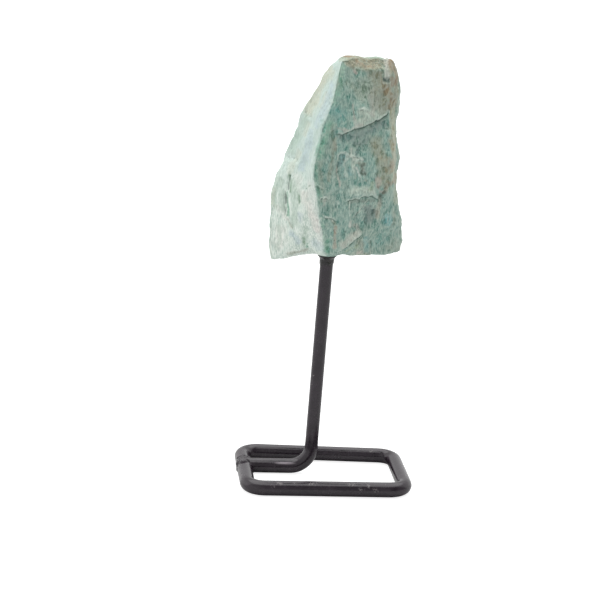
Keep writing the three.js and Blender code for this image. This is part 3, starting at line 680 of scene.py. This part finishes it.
def wallRelief(skin, wall, across, first, last):
    # the large relief out of the stone, its lips, and the shadowed places under ledges
    form = stoneForm
    reach = form["largeReach"]
    big = stoneFlakes("large", skin)[0]
    big = blur(big, reach, reach) - np.quantile(big, form["level"])
    left = np.isin(wall, form["leftWalls"])
    reach = form["leftReach"]
    big[:, left] = form["leftLarge"] * blur(big, reach, reach)[:, left]
    lip = np.zeros(big.shape)
    under = np.zeros(big.shape)
    for side, axis in (("front", 0), ("back", 0), ("left", 1)):
        on = np.isin(wall, form[side + "Walls"])
        part = skin[:, on]
        place = part[..., axis]
        for ledge in form[side + "Ledges"]:
            width = form["stepWidth"][side]
            proud, near, low = ledgeHeights(ledge, place, part[..., 2], part, width)
            big[:, on] += proud
            if side != "left":
                lip[:, on] = np.maximum(lip[:, on], near)
                under[:, on] = np.maximum(under[:, on], low)
        for scoop in form[side + "Scoops"]:
            big[:, on] += scoopDepth(scoop, place, part[..., 2])
    # the relief runs out towards the sharp corners and the rims
    sharp = np.array([line[0] for line in form["cornerLines"]])
    start = np.where(sharp[wall], smooth(0, form["calmWidth"], across), 1)
    end = np.where(np.roll(sharp, -1)[wall], smooth(0, form["calmWidth"], 1 - across), 1)
    calm = start * end
    share = (np.arange(len(skin)) - first) / (last - first)
    rim = smooth(0, form["calmRim"], share) * smooth(0, form["calmRim"], 1 - share)
    return big * calm[None] * rim[:, None], lip, under


def fineRelief(points, leftFace):
    # small flakes, upright striations and pits, calmer on the left face
    fine = stoneForm["fine"]
    total = np.zeros(points.shape[:-1])
    crest = np.zeros(points.shape[:-1])
    warped = points + fine["warp"] * stoneNoise("warp", points)[..., None]
    for name in ("small", "tiny"):
        height, gap = stoneFlakes(name, warped)
        total += height - np.quantile(height, fine["level"])
        crest = np.maximum(crest, 1 - smooth(0, fine["crestWidth"], gap))
    stria = fine["striaDepth"] * stoneNoise("stria", points)
    total += stria + fine["pitDepth"] * stoneNoise("pit", points)
    return total * (1 - (1 - fine["leftShare"]) * leftFace), crest


def closeRings(points, count):
    # quads between rings of points that close round the piece
    faces = []
    for low in range(0, (len(points) - 1) * count, count):
        high = low + count
        for side in range(count):
            following = (side + 1) % count
            faces.append((low + side, low + following, high + following, high + side))
    return faces


standForm = {
    "baseRadius": 2.27,
    "baseCorners": [[-24.4, 16.6], [23.3, 13.9], [24.4, -16.4], [-23.3, -16.4]],
    "cornerRadius": 5,
    "lift": 0.02,
    "legRadius": 2.25,
    "legStart": -23.0,
    "uprightRadius": 2.0,
    "thinning": (3, 11),  # the heights between which the leg's radius becomes the upright's
    "stemDepth": 3.4,
    "stemCentre": 2.25,
    "stemBendRadius": 6.4,
    "stemBendStart": -9.7,
    "stemBendLow": 2.1,
    "bendSteps": 14,
    "lean": math.atan(0.036),
    "pinTop": 79.5,
    "sides": 40,
    "ringPitch": 0.8,
    "unevenness": 0.03,
    "unevenWaves": 0.12,
}
leanTurn = math.pi / 2 - standForm["lean"]
bendTop = [standForm["stemBendStart"] + standForm["stemBendRadius"] * math.sin(leanTurn),
           standForm["stemBendLow"] + standForm["stemBendRadius"] * (1 - math.cos(leanTurn))]


def uprightAt(z):
    # the middle of the upright at a height, in millimetres
    return bendTop[0] + (z - bendTop[1]) * math.tan(standForm["lean"])


def holeRing(rim, z, radius):
    depth = standForm["stemDepth"]
    away = np.arctan2(rim[:, 1] - depth, rim[:, 0] - uprightAt(z))
    return np.stack([uprightAt(z) + radius * np.cos(away), depth + radius * np.sin(away),
                     np.full(len(rim), z)], axis=1)


def markMasks(skin, wall, last):
    # the tints of the marks on each point, and the relief that they carve
    fine = stoneForm["fine"]
    forward = np.isin(wall, stoneForm["forwardWalls"])[None] * np.ones((len(skin), 1))
    top = smooth(*fine["topRings"], np.arange(len(skin)) - last)[:, None]
    warp = fine["markWarp"] * stoneNoise("mark", skin)
    gaps = smooth(*fine["markGaps"], stoneNoise("gap", skin))
    least, most = fine["markRagged"]
    inner, outer = fine["markFade"]
    masks = {name: np.zeros(skin.shape[:-1]) for name in tints}
    carved = np.zeros(skin.shape[:-1])
    for marks, axis, share in ((stoneMarks, 2, forward), (crownMarks, 1, top)):
        for path, width, amounts, *relief in marks:
            away = pathDistance(path, skin[..., 0], skin[..., axis])
            ragged = away + warp * min(most, least + width)
            inside = share * (1 - smooth(inner * width, outer * width, ragged))
            if width < fine["thinMark"]:
                inside = inside * gaps
            carved += sum(relief) * inside
            for name, amount in amounts.items():
                masks[name] = np.maximum(masks[name], amount * inside)
    return masks, carved


def stoneRelief(skin, wall, across, first, last):
    # all relief out of the skin, and the number fields that the stone's material reads
    fine = stoneForm["fine"]
    ring = np.arange(len(skin))[:, None]
    left = np.isin(wall, stoneForm["leftWalls"]).astype(float)[None] * np.ones((len(skin), 1))
    blend = fine["leftBlend"]
    low = 1 - smooth(*blend["heights"], skin[..., 2])
    left = blurAlong(left, 1, blend["high"]) * (1 - low) + blurAlong(left, 1, blend["low"]) * low
    big, lip, under = wallRelief(skin, wall, across, first, last)
    small, crest = fineRelief(skin, left)
    wander = fine["edgeWander"] * stoneNoise("edge", skin)
    masks, carved = markMasks(skin, wall, last)
    place = ring - last + fine["crownWander"] * stoneNoise("crown", skin)
    crown = smooth(*fine["crownRings"], place)
    chips = stoneFlakes("crown", skin)[0]
    chips = fine["crownRough"] * (chips - np.quantile(chips, fine["crownLevel"]))
    broken = smooth(*fine["broken"], stoneNoise("broken", skin))
    broken = fine["whole"] + (1 - fine["whole"]) * broken
    lip, under = lip * broken, under * (0.5 + 0.5 * broken)
    total = big + small + wander + carved
    total = total + fine["lipRelief"] * lip - fine["underRelief"] * under
    total = total + crown * (chips - fine["crownSink"] * np.abs(total))
    skirt = -np.abs(total) * smooth(first, first - fine["skirtRings"], ring)
    total = np.where(ring < first, skirt, total) * smooth(0, fine["holeRings"], ring)
    # the hollow field marks sunken and raised places, where the material paints shade and
    # highlight
    hollow = blur(total, fine["hollowReach"], fine["hollowReach"]) - total
    # painted highlight along the lips of ledges, and painted shade under them
    masks["pale"] = np.maximum(masks["pale"], fine["lipPale"] * lip)
    masks["deep"] = np.maximum(masks["deep"], fine["underDeep"] * under)
    fields = {
        **masks,
        "leftFace": left,
        "crown": crown,
        "crest": crest * (1 - 0.5 * left) * (1 - 0.8 * crown),
        "hollow": np.clip(0.5 + fine["hollowGain"] * hollow * (1 - 0.5 * crown), 0, 1),
    }
    return total, fields


def makeStone(material):
    form = stoneForm
    skin, wall, across, first, last, mouth, middle = stoneSkin()
    total, fields = stoneRelief(skin, wall, across, first, last)
    crownLine = np.array(form["crownLine"]).T
    lift = np.interp(skin[..., 0], *crownLine) * smooth(*form["crownLift"], skin[..., 2])
    skin = skin + skinNormals(skin) * total[..., None]
    skin[..., 2] = np.clip(skin[..., 2] + lift, form["lowest"], form["highest"])
    hole = [holeRing(skin[0], form[height], form["holeRadius"])
            for height in ("holeEnd", "holeMouth")]
    rings = np.concatenate([np.stack([*hole, mouth]), skin])
    end = [uprightAt(form["holeEnd"]), standForm["stemDepth"], form["holeEnd"]]
    body = np.concatenate([rings.reshape(-1, 3), [end, middle]])
    count = len(wall)
    faces = closeRings(rings, count)
    final = (len(rings) - 1) * count
    for side in range(count):
        following = (side + 1) % count
        faces.append((len(body) - 2, following, side))
        faces.append((len(body) - 1, final + side, final + following))
    mesh = newMesh("amazonite_stone", body, [], faces)
    for name, values in fields.items():
        layer = np.zeros(len(body))
        layer[3 * count:-2] = values.reshape(-1)
        layer[-1] = values[-1].mean()
        addField(mesh, name, layer)
    mesh.validate()
    return newPiece("amazonite_stone", mesh, material)


# Amazonite: grey-green feldspar with fine upright pale threads. Its left face is paler, partly its
# own colour and partly painted light from the left, and painted brighter towards the bottom.
stoneColours = {
    "dark": (0.072, 0.19, 0.155),
    "darkTeal": (0.052, 0.19, 0.163),
    "darkOlive": (0.095, 0.155, 0.113),
    "light": (0.325, 0.465, 0.402),
    "lightTeal": (0.285, 0.482, 0.422),
    "lightOlive": (0.355, 0.445, 0.36),
    "lowTone": (1.14, 1.02, 0.99),
    "highTone": (0.95, 0.99, 0.96),
    "mint": (0.485, 0.585, 0.545),
    "lowMintPaintedLight": (0.71, 0.775, 0.71),
    "mintShade": (0.345, 0.465, 0.405),
    "crown": (0.43, 0.465, 0.34),
}
# Where the noises turn from one look to the next.
stoneLooks = {
    "tealZone": (0.42, 0.60),
    "oliveZone": (0.46, 0.34),
    "frontWeave": (0.41, 0.63),
    "crownWeave": (0.38, 0.62),
    "tintWeave": (0.40, 0.60, 0.62, 1.14),
    "toneHeights": (80 * mm, 118 * mm),
    "mintPaintedLightHeights": (84 * mm, 104 * mm),
    "leftStreaks": (0.39, 0.56),
    "mottle": (0.5, 0.64),
    "broken": (0.3, 0.55, 0.6, 1.0),
    "raised": (0.45, 0.1),
    "sunken": (0.58, 0.95),
    "roughness": (0.3, 0.7, 0.42, 0.68),
    "ior": 1.53,
}


def amazoniteMaterial():
    material, nodes = newMaterial("amazonite")
    looks = stoneLooks
    colours = {name: (*colour, 1) for name, colour in {**stoneColours, **tints}.items()}
    zone = grain(nodes, (0.10, 0.10, 0.06), detail=3, roughness=0.6)
    patch = grain(nodes, (0.42, 0.42, 0.2), detail=4, roughness=0.65, shift=5.1)
    threads = grain(nodes, (3.0, 3.0, 0.5), detail=3, roughness=0.65, distortion=0.2)
    felt = grain(nodes, (4.2, 4.2, 1.0), detail=2, roughness=0.6, shift=3.7)
    specks = grain(nodes, (1.4, 1.4, 0.9), detail=3, roughness=0.65, shift=8.2)
    weave = threads * 0.48 + felt * 0.42 + patch * 0.10
    teal = zone.between(*looks["tealZone"])
    olive = zone.between(*looks["oliveZone"])
    dark, light = (
        olive.tint(teal.tint(colours[tone], colours[tone + "Teal"]), colours[tone + "Olive"])
        for tone in ("dark", "light"))
    front = weave.between(*looks["frontWeave"]).tint(dark, light)
    place = nodes.node("ShaderNodeTexCoord", out=3)
    height = nodes.node("ShaderNodeSeparateXYZ", sockets={0: place}, out=2)
    tone = height.between(*looks["toneHeights"]).tint(colours["lowTone"], colours["highTone"])
    front = nodes.vector("MULTIPLY", {0: front, 1: tone})
    # painted light: the left face's colour is brighter towards the bottom, where less light
    # reaches it
    mint = height.between(*looks["mintPaintedLightHeights"]).tint(colours["lowMintPaintedLight"], colours["mint"])
    leftFace = mask(nodes, "leftFace")
    mottle = specks.between(*looks["mottle"])
    streaks = threads * 0.6 + felt * 0.2 + patch * 0.2
    left = streaks.between(*looks["leftStreaks"]).tint(colours["mintShade"], mint)
    left = (mottle * 0.3).tint(left, colours["mintShade"])
    colour = leftFace.tint(front, left)
    broken = specks.between(*looks["broken"])
    crown = weave.between(*looks["crownWeave"]).tint(colours["darkOlive"], colours["crown"])
    colour = (mask(nodes, "crown") * broken).tint(colour, crown)
    # the marks' tints keep some of the weave, less of it on the left face
    shade = weave.between(*looks["tintWeave"])
    shade = shade + (0.98 - shade) * leftFace * 0.35 - mottle * leftFace * 0.12
    for name, tint in tints.items():
        tone = nodes.vector("SCALE", {0: tint, "Scale": shade})
        colour = (mask(nodes, name) * broken).tint(colour, tone)
    # painted light: a pale highlight on crests and raised places, and painted shade in sunken
    # hollows
    hollow = mask(nodes, "hollow")
    for where, name in ((mask(nodes, "crest") * 0.3, "pale"),
                        (hollow.between(*looks["raised"]) * 0.35, "pale"),
                        (hollow.between(*looks["sunken"]) * 0.6, "deep")):
        colour = where.tint(colour, colours[name])
    roughness = threads.between(*looks["roughness"])
    surface = {"Base Color": colour, "Roughness": roughness, "IOR": looks["ior"]}
    finishSurface(nodes, surface, strength=0.6, depth=0.2, height=weave)
    return material


paintColours = {
    "dark": (0.012, 0.007, 0.012, 1),
    "light": (0.022, 0.015, 0.022, 1),
    "scuff": (0.24, 0.22, 0.22, 1),
    "paintedHighlight": (0.45, 0.40, 0.44, 1),
}


def paintMaterial():
    material, nodes = newMaterial("black_paint")
    cloud = grain(nodes, (0.25, 0.25, 0.25), detail=4, roughness=0.6)
    hair = grain(nodes, (2.6, 0.5, 2.6), detail=3, roughness=0.6)
    dust = grain(nodes, (2.0, 2.0, 2.0), detail=2, roughness=0.6, shift=2.3)
    peel = grain(nodes, (0.8, 0.8, 0.8), detail=2)
    colour = cloud.between(0.35, 0.65).tint(paintColours["dark"], paintColours["light"])
    scuff = mask(nodes, "scuff") * dust.between(0.46, 0.6, 0, 0.6)
    colour = scuff.tint(colour, paintColours["scuff"])
    # painted highlight: a lighter streak on the leg near its bend
    colour = (mask(nodes, "paintedHighlight") * 0.6).tint(colour, paintColours["paintedHighlight"])
    roughness = cloud.between(0.3, 0.7, 0.15, 0.24) + scuff * 0.3
    roughness = roughness + hair.between(0.4, 0.7, 0.0, 0.06)
    looks = {"Base Color": colour, "Roughness": roughness}
    finishSurface(nodes, looks, strength=0.3, depth=0.05, height=peel + hair * 0.25)
    return material


glueColours = {"dark": (0.003, 0.003, 0.003, 1), "light": (0.02, 0.019, 0.016, 1)}


def glueMaterial():
    material, nodes = newMaterial("dark_glue")
    cloud = grain(nodes, (0.8, 0.8, 0.8), detail=3)
    colour = cloud.between(0.4, 0.7).tint(glueColours["dark"], glueColours["light"])
    looks = {"Base Color": colour, "Roughness": 0.16}
    finishSurface(nodes, looks, strength=0.9, depth=0.6, height=cloud)
    return material


# Geometry Nodes: a tree with named inputs, and the plain mesh that it makes of a path.
def newTree(name, inputs):
    tree = bpy.data.node_groups.new(name, "GeometryNodeTree")
    for way in ("OUTPUT", "INPUT"):
        tree.interface.new_socket("Geometry", in_out=way, socket_type="NodeSocketGeometry")
    for label, kind in inputs.items():
        tree.interface.new_socket(label, in_out="INPUT", socket_type="NodeSocket" + kind)
    entry = tree.nodes.new("NodeGroupInput")
    return Socket(tree), {socket.name: Socket(tree, socket) for socket in entry.outputs}


def finishTree(nodes, geometry, material):
    whole = nodes.node("GeometryNodeRealizeInstances", sockets={0: geometry})
    looks = {"Geometry": whole, "Material": material}
    painted = nodes.node("GeometryNodeSetMaterial", sockets=looks)
    nodes.node("NodeGroupOutput", sockets={0: painted})
    return nodes.tree


def runTree(name, tree, path, closed, values):
    edges = [(step, step + 1) for step in range(len(path) - 1)]
    if closed:
        edges.append((len(path) - 1, 0))
    holder = newPiece(name + "_path", newMesh(name + "_path", path, edges, []))
    modifier = holder.modifiers.new(name, "NODES")
    modifier.node_group = tree
    sockets = {item.name: item.identifier for item in tree.interface.items_tree
               if item.in_out == "INPUT"}
    for label, value in values.items():
        modifier[sockets[label]] = value
    evaluated = holder.evaluated_get(bpy.context.evaluated_depsgraph_get())
    mesh = bpy.data.meshes.new_from_object(evaluated)
    mesh.name = name
    holder.modifiers.remove(modifier)
    bpy.data.objects.remove(holder)
    return newPiece(name, mesh)


def wireTree():
    nodes, inputs = newTree("bent_wire", {
        "Bend radius": "Float", "Bend steps": "Int", "Low radius": "Float", "High radius": "Float",
        "Blend from": "Float", "Blend to": "Float", "Unevenness": "Float", "Ring pitch": "Float",
        "Sides": "Int", "Material": "Material"})
    curve = nodes.node("GeometryNodeMeshToCurve", sockets={0: inputs["Geometry"]})
    bent = nodes.node("GeometryNodeFilletCurve", {"mode": "POLY"}, {
        "Curve": curve, "Count": inputs["Bend steps"], "Radius": inputs["Bend radius"],
        "Limit Radius": True})
    even = nodes.node("GeometryNodeResampleCurve", {"mode": "LENGTH"}, {
        "Curve": bent, "Length": inputs["Ring pitch"]})
    position = nodes.node("GeometryNodeInputPosition")
    height = nodes.node("ShaderNodeSeparateXYZ", sockets={0: position}, out=2)
    radius = height.between(inputs["Blend from"], inputs["Blend to"],
                            inputs["Low radius"], inputs["High radius"])
    waves = {"Vector": position, "Scale": standForm["unevenWaves"] / mm}
    wobble = nodes.node("ShaderNodeTexNoise", sockets=waves)
    radius = radius + (wobble - 0.5) * inputs["Unevenness"]
    section = nodes.node("GeometryNodeCurvePrimitiveCircle", {"mode": "RADIUS"}, {
        "Resolution": inputs["Sides"], "Radius": 1.0})
    wire = nodes.node("GeometryNodeCurveToMesh", sockets={
        "Curve": even, "Profile Curve": section, "Scale": radius, "Fill Caps": True})
    return finishTree(nodes, wire, inputs["Material"])


def weldTree():
    nodes, inputs = newTree("weld_bead", {
        "Lumps": "Int", "Lump radius": "Float", "Smallest": "Float", "Largest": "Float",
        "Scatter": "Float", "Voxel": "Float", "Seed": "Int", "Material": "Material"})
    curve = nodes.node("GeometryNodeMeshToCurve", sockets={0: inputs["Geometry"]})
    spots = nodes.node("GeometryNodeResampleCurve", {"mode": "COUNT"}, {
        "Curve": curve, "Count": inputs["Lumps"]})
    offset = nodes.node("FunctionNodeRandomValue", {"data_type": "FLOAT_VECTOR"}, {
        0: (-1, -1, -1), 1: (1, 1, 1), "Seed": inputs["Seed"]})
    offset = nodes.vector("SCALE", {0: offset, "Scale": inputs["Scatter"]})
    moved = nodes.node("GeometryNodeSetPosition", sockets={"Geometry": spots, "Offset": offset})
    size = nodes.node("FunctionNodeRandomValue", {"data_type": "FLOAT"}, {
        2: inputs["Smallest"], 3: inputs["Largest"], "Seed": inputs["Seed"]}, out=1)
    ball = nodes.node("GeometryNodeMeshIcoSphere", sockets={
        "Radius": inputs["Lump radius"], "Subdivisions": 3})
    lumps = nodes.node("GeometryNodeInstanceOnPoints", sockets={
        "Points": moved, "Instance": ball, "Scale": size})
    whole = nodes.node("GeometryNodeRealizeInstances", sockets={0: lumps})
    cloud = nodes.node("GeometryNodeMeshToVolume", {"resolution_mode": "VOXEL_SIZE"}, {
        "Mesh": whole, "Voxel Size": inputs["Voxel"], "Interior Band Width": 2 * mm})
    skin = nodes.node("GeometryNodeVolumeToMesh", {"resolution_mode": "VOXEL_SIZE"}, {
        "Volume": cloud, "Voxel Size": inputs["Voxel"], "Threshold": 0.1})
    return finishTree(nodes, skin, inputs["Material"])


# Wear on the paint and a painted highlight, each spot as a centre and half sizes in
# millimetres: small scuffs, and a lighter streak of painted highlight on the leg near its bend.
wearAndHighlight = {
    "scuff": [
        ([-14.2, -17.4, 4.2], [1.2, 0.8, 0.7]), ([-9.6, -17.4, 4.2], [0.7, 0.8, 0.7]),
        ([-4.4, -17.4, 4.2], [1.9, 0.8, 0.7]), ([7.6, -17.4, 4.2], [1.7, 0.8, 0.7]),
        ([10.4, -18.4, 3.0], [0.8, 0.8, 0.7]), ([14.6, -18.5, 2.8], [0.9, 0.8, 0.7]),
        ([12.5, -17.8, 3.9], [0.5, 0.8, 0.7]), ([-16.0, -18.0, 3.4], [0.5, 0.8, 0.7]),
        ([16.6, 12.6, 4.3], [1.1, 0.8, 0.7]), ([-3.4, 2.4, 36.0], [0.6, 0.8, 0.7]),
        ([-3.9, 1.9, 32.0], [0.5, 0.8, 0.7]), ([-4.1, 1.9, 30.0], [0.4, 0.8, 0.7]),
        ([21.6, 3.2, 2.4], [0.7, 4.0, 0.8]),
    ],
    "paintedHighlight": [
        ([-11.5, 1.6, 3.78], [3.6, 0.45, 0.45]),
    ],
}


def addWearAndHighlight(piece):
    mesh = piece.data
    places = np.zeros(len(mesh.vertices) * 3)
    mesh.vertices.foreach_get("co", places)
    places = places.reshape(-1, 3) / mm
    for name, spots in wearAndHighlight.items():
        spotWeight = np.zeros(len(places))
        for centre, half in spots:
            spread = np.linalg.norm((places - np.array(centre)) / np.array(half), axis=1)
            spotWeight = np.maximum(spotWeight, 1 - smooth(0.5, 1.1, spread))
        addField(mesh, name, spotWeight)


def makeStand(paint):
    form = standForm
    tree = wireTree()

    def wire(name, path, closed, bend, low, high, blend):
        piece = runTree(name, tree, path, closed, {
            "Bend radius": bend * mm, "Bend steps": form["bendSteps"], "Low radius": low * mm,
            "High radius": high * mm, "Blend from": blend[0] * mm, "Blend to": blend[1] * mm,
            "Unevenness": form["unevenness"] * mm, "Ring pitch": form["ringPitch"] * mm,
            "Sides": form["sides"], "Material": paint})
        addWearAndHighlight(piece)
        return piece

    depth, centre, thick = form["stemDepth"], form["stemCentre"], form["baseRadius"]
    path = [[x, y, thick + form["lift"]] for x, y in form["baseCorners"]]
    base = wire("wire_base", path, True, form["cornerRadius"], thick, thick, form["thinning"])
    start = [form["legStart"], depth, centre + form["lift"]]
    corner, top = ([uprightAt(z), depth, z] for z in (centre, form["pinTop"]))
    stem = wire("wire_stem", [start, corner, top], False, form["stemBendRadius"],
                form["legRadius"], form["uprightRadius"], form["thinning"])
    return base, stem


weldForm = {
    "barAt": [-23.93, 2.35],
    "barRings": [0.4, 2.2, 4.2, 6.0],
    "barRadius": 1.62,
    "legRings": [-21.6, -20.9],
    "legRadius": 1.25,
    "turnSteps": 12,
    "lumps": 84,
    "lumpRadius": 1.12,
    "lumpSizes": (0.75, 1.2),
    "scatter": 0.22,
    "voxel": 0.16,
    "seed": 7,
    "limits": [[-26.58, -10, 0.02], [0, 20, 10]],
}


def makeWeld(paint):
    # passes of the bead round the left bar, and then round the root of the leg
    form = weldForm
    x, z = form["barAt"]
    legY, legZ = standForm["stemDepth"], standForm["stemCentre"]
    steps = form["turnSteps"]
    circle = [(math.cos(turn), math.sin(turn))
              for turn in (2 * math.pi * step / steps for step in range(steps + 1))]
    bar, leg = form["barRadius"], form["legRadius"]
    path = [[x + bar * out, y, z + bar * up] for y in form["barRings"] for out, up in circle]
    path += [[ring, legY + leg * out, legZ + leg * up]
             for ring in form["legRings"] for out, up in circle]
    smallest, largest = form["lumpSizes"]
    weld = runTree("weld_bead", weldTree(), path, False, {
        "Lumps": form["lumps"], "Lump radius": form["lumpRadius"] * mm, "Smallest": smallest,
        "Largest": largest, "Scatter": form["scatter"] * mm, "Voxel": form["voxel"] * mm,
        "Seed": form["seed"], "Material": paint})
    for vertex in weld.data.vertices:
        for axis in range(3):
            low, high = (limit[axis] * mm for limit in form["limits"])
            vertex.co[axis] = min(max(vertex.co[axis], low), high)
    addWearAndHighlight(weld)
    return weld


glueForm = {
    "sides": 64,
    "bottom": 66.9,
    "profile": [[2.02, 0], [2.12, 0.12], [2.16, 0.3], [2.19, 0.45], [2.2, 0.6], [2.2, 0.75],
                [2.2, 0.9], [2.21, 1.1], [2.22, 1.6], [2.28, 2.0], [2.5, 2.35], [2.85, 2.62],
                [2.8, 3.0], [2.4, 3.2], [1.95, 3.2]],
    "flow": {"amount": 0.5, "cells": 1.6, "salt": 91, "below": 1},
    "swell": {"amount": 0.07, "cells": 1.1, "salt": 93, "from": 0.2, "to": 3},
    "drip": {"turn": -1.3, "height": 0.6, "wide": 0.2, "tall": 0.2, "proud": 0.34},
}


def makeGlue(glue):
    form, count = glueForm, glueForm["sides"]
    flow, swell, drip = form["flow"], form["swell"], form["drip"]
    turns = 2 * np.pi * np.arange(count) / count
    around = (turns - drip["turn"] + np.pi) % (2 * np.pi) - np.pi
    rings = []
    for radius, height in form["profile"]:
        z = np.full(count, form["bottom"] + height)
        ring = np.stack([radius * np.cos(turns), radius * np.sin(turns), z], axis=1)
        if height < flow["below"]:
            low = drift(ring * [1, 1, 0] + [5, 5, 5], flow["cells"], flow["salt"])
            ring[:, 2] += flow["amount"] * low * (flow["below"] - height)
        proud = swell["amount"] * drift(ring, swell["cells"], swell["salt"])
        proud *= swell["from"] < height < swell["to"]
        away = (around / drip["wide"]) ** 2 + ((height - drip["height"]) / drip["tall"]) ** 2
        proud += drip["proud"] * np.exp(-away)
        ring[:, :2] *= (1 + proud / radius)[:, None]
        ring[:, 0] += uprightAt(ring[:, 2])
        ring[:, 1] += standForm["stemDepth"]
        rings.append(ring)
    faces = closeRings(rings, count)
    last = (len(rings) - 1) * count
    for side in range(count):
        following = (side + 1) % count
        faces.append((last + side, last + following, following, side))
    return newPiece("glue_fillet", newMesh("glue_fillet", np.concatenate(rings), [], faces), glue)


paint, glue, amazonite = paintMaterial(), glueMaterial(), amazoniteMaterial()
base, stem = makeStand(paint)
weld = makeWeld(paint)
fillet = makeGlue(glue)
print("stand:", {piece.name: len(piece.data.polygons) for piece in (base, stem, weld, fillet)})
stone = makeStone(amazonite)
print("stone faces:", len(stone.data.polygons))

for piece, nodes, slot in ((stone, ["amazonite"], "amazonite"),
                           (base, ["base_loop"], "black_paint"),
                           (stem, ["stem"], "black_paint"),
                           (weld, [], "black_paint"),
                           (fillet, ["glue_collar"], "glue")):
    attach(piece, "root")
    if nodes:
        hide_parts(*nodes)


# Floor, light and camera. The ways point to the sides that the light comes from.
studio = {
    "floorSize": 3000,
    "floorDrop": 0.02,
    "floorGlow": 0.85,
    "floorWhite": 0.4,
    "floorShade": 0.66,
    "backdrop": 1.02,
    "base": 0.07,
    "side": 0.97,
    "sideWay": (-0.87, -0.49, 0.0),
    "right": 0.3,
    "back": 0.9,
    "backWay": (0.0, 0.95, 0.33),
    "backEdge": (-0.05, 0.15),
    "lamp": 1.85,
    "lampWay": (0.0, 0.17, 0.985),
    "lampEdge": (0.78, 0.83),
}


def makeFloor():
    half, low = studio["floorSize"] / 2, -studio["floorDrop"]
    corners = [(-half, -half, low), (half, -half, low), (half, half, low), (-half, half, low)]
    material, nodes = newMaterial("floor")
    white, grey = (
        nodes.node("ShaderNodeBsdfDiffuse", sockets={0: (studio[name],) * 3 + (1,)})
        for name in ("floorWhite", "floorShade"))
    glow = nodes.node("ShaderNodeEmission", sockets={0: (1, 1, 1, 1), 1: studio["floorGlow"]})
    lit = nodes.node("ShaderNodeAddShader", sockets={0: glow, 1: white})
    seen = nodes.node("ShaderNodeLightPath")
    finishMaterial(nodes, nodes.node("ShaderNodeMixShader", sockets={0: seen, 1: grey, 2: lit}))
    floor = newPiece("floor", newMesh("floor", corners, [], [(0, 1, 2, 3)]), material)


def makeLight():
    world = bpy.data.worlds.new("tent")
    world.use_nodes = True
    world.node_tree.nodes.clear()
    nodes = Socket(world.node_tree)
    direction = nodes.node("ShaderNodeTexCoord", out=0)
    across = nodes.node("ShaderNodeSeparateXYZ", sockets={0: direction})
    toSide, toBack, toLamp = (
        nodes.vector("DOT_PRODUCT", {0: direction, 1: studio[way]}, out=1)
        for way in ("sideWay", "backWay", "lampWay"))
    glow = studio["base"] + studio["side"] * toSide.atLeast(0)
    glow = glow + studio["right"] * across.atLeast(0)
    glow = glow + toBack.between(*studio["backEdge"], 0.0, studio["back"])
    glow = glow + toLamp.between(*studio["lampEdge"], 0.0, studio["lamp"])
    seen = nodes.node("ShaderNodeLightPath")
    strength = seen * studio["backdrop"] + (1 - seen) * glow
    background = nodes.node("ShaderNodeBackground", sockets={0: (1, 1, 1, 1), 1: strength})
    nodes.node("ShaderNodeOutputWorld", sockets={0: background})
    scene.world = world


# The camera stands a little to the left of the front. Its roll turns the view clockwise.
view = {
    "azimuth": -4.5,
    "elevation": 15.3,
    "roll": 2.5,
    "distance": 600,
    "target": [-9.06, -0.6, 56.63],
    "lens": 119.76,
    "sensor": 36,
    "clip": 10,
}


def makeCamera():
    azimuth, elevation, roll = (math.radians(view[name])
                                for name in ("azimuth", "elevation", "roll"))
    level = math.cos(elevation)
    back = Vector((math.sin(azimuth) * level, -math.cos(azimuth) * level, math.sin(elevation)))
    right = Vector((math.cos(azimuth), math.sin(azimuth), 0))
    up = back.cross(right)
    turned = math.cos(roll) * right + math.sin(roll) * up
    upright = math.cos(roll) * up - math.sin(roll) * right
    place = (Vector(view["target"]) + view["distance"] * back) * mm
    camera = bpy.data.objects.new("camera", bpy.data.cameras.new("camera"))
    camera.data.lens = view["lens"]
    camera.data.sensor_width = view["sensor"]
    camera.data.clip_start = view["clip"] * mm
    axes = Matrix((turned, upright, back)).transposed().to_4x4()
    camera.matrix_world = Matrix.Translation(place) @ axes
    scene.collection.objects.link(camera)
    scene.camera = camera


makeFloor()
makeLight()
makeCamera()
scene.view_settings.view_transform = "Standard"
scene.view_settings.look = "None"
print("floor, light and camera set")
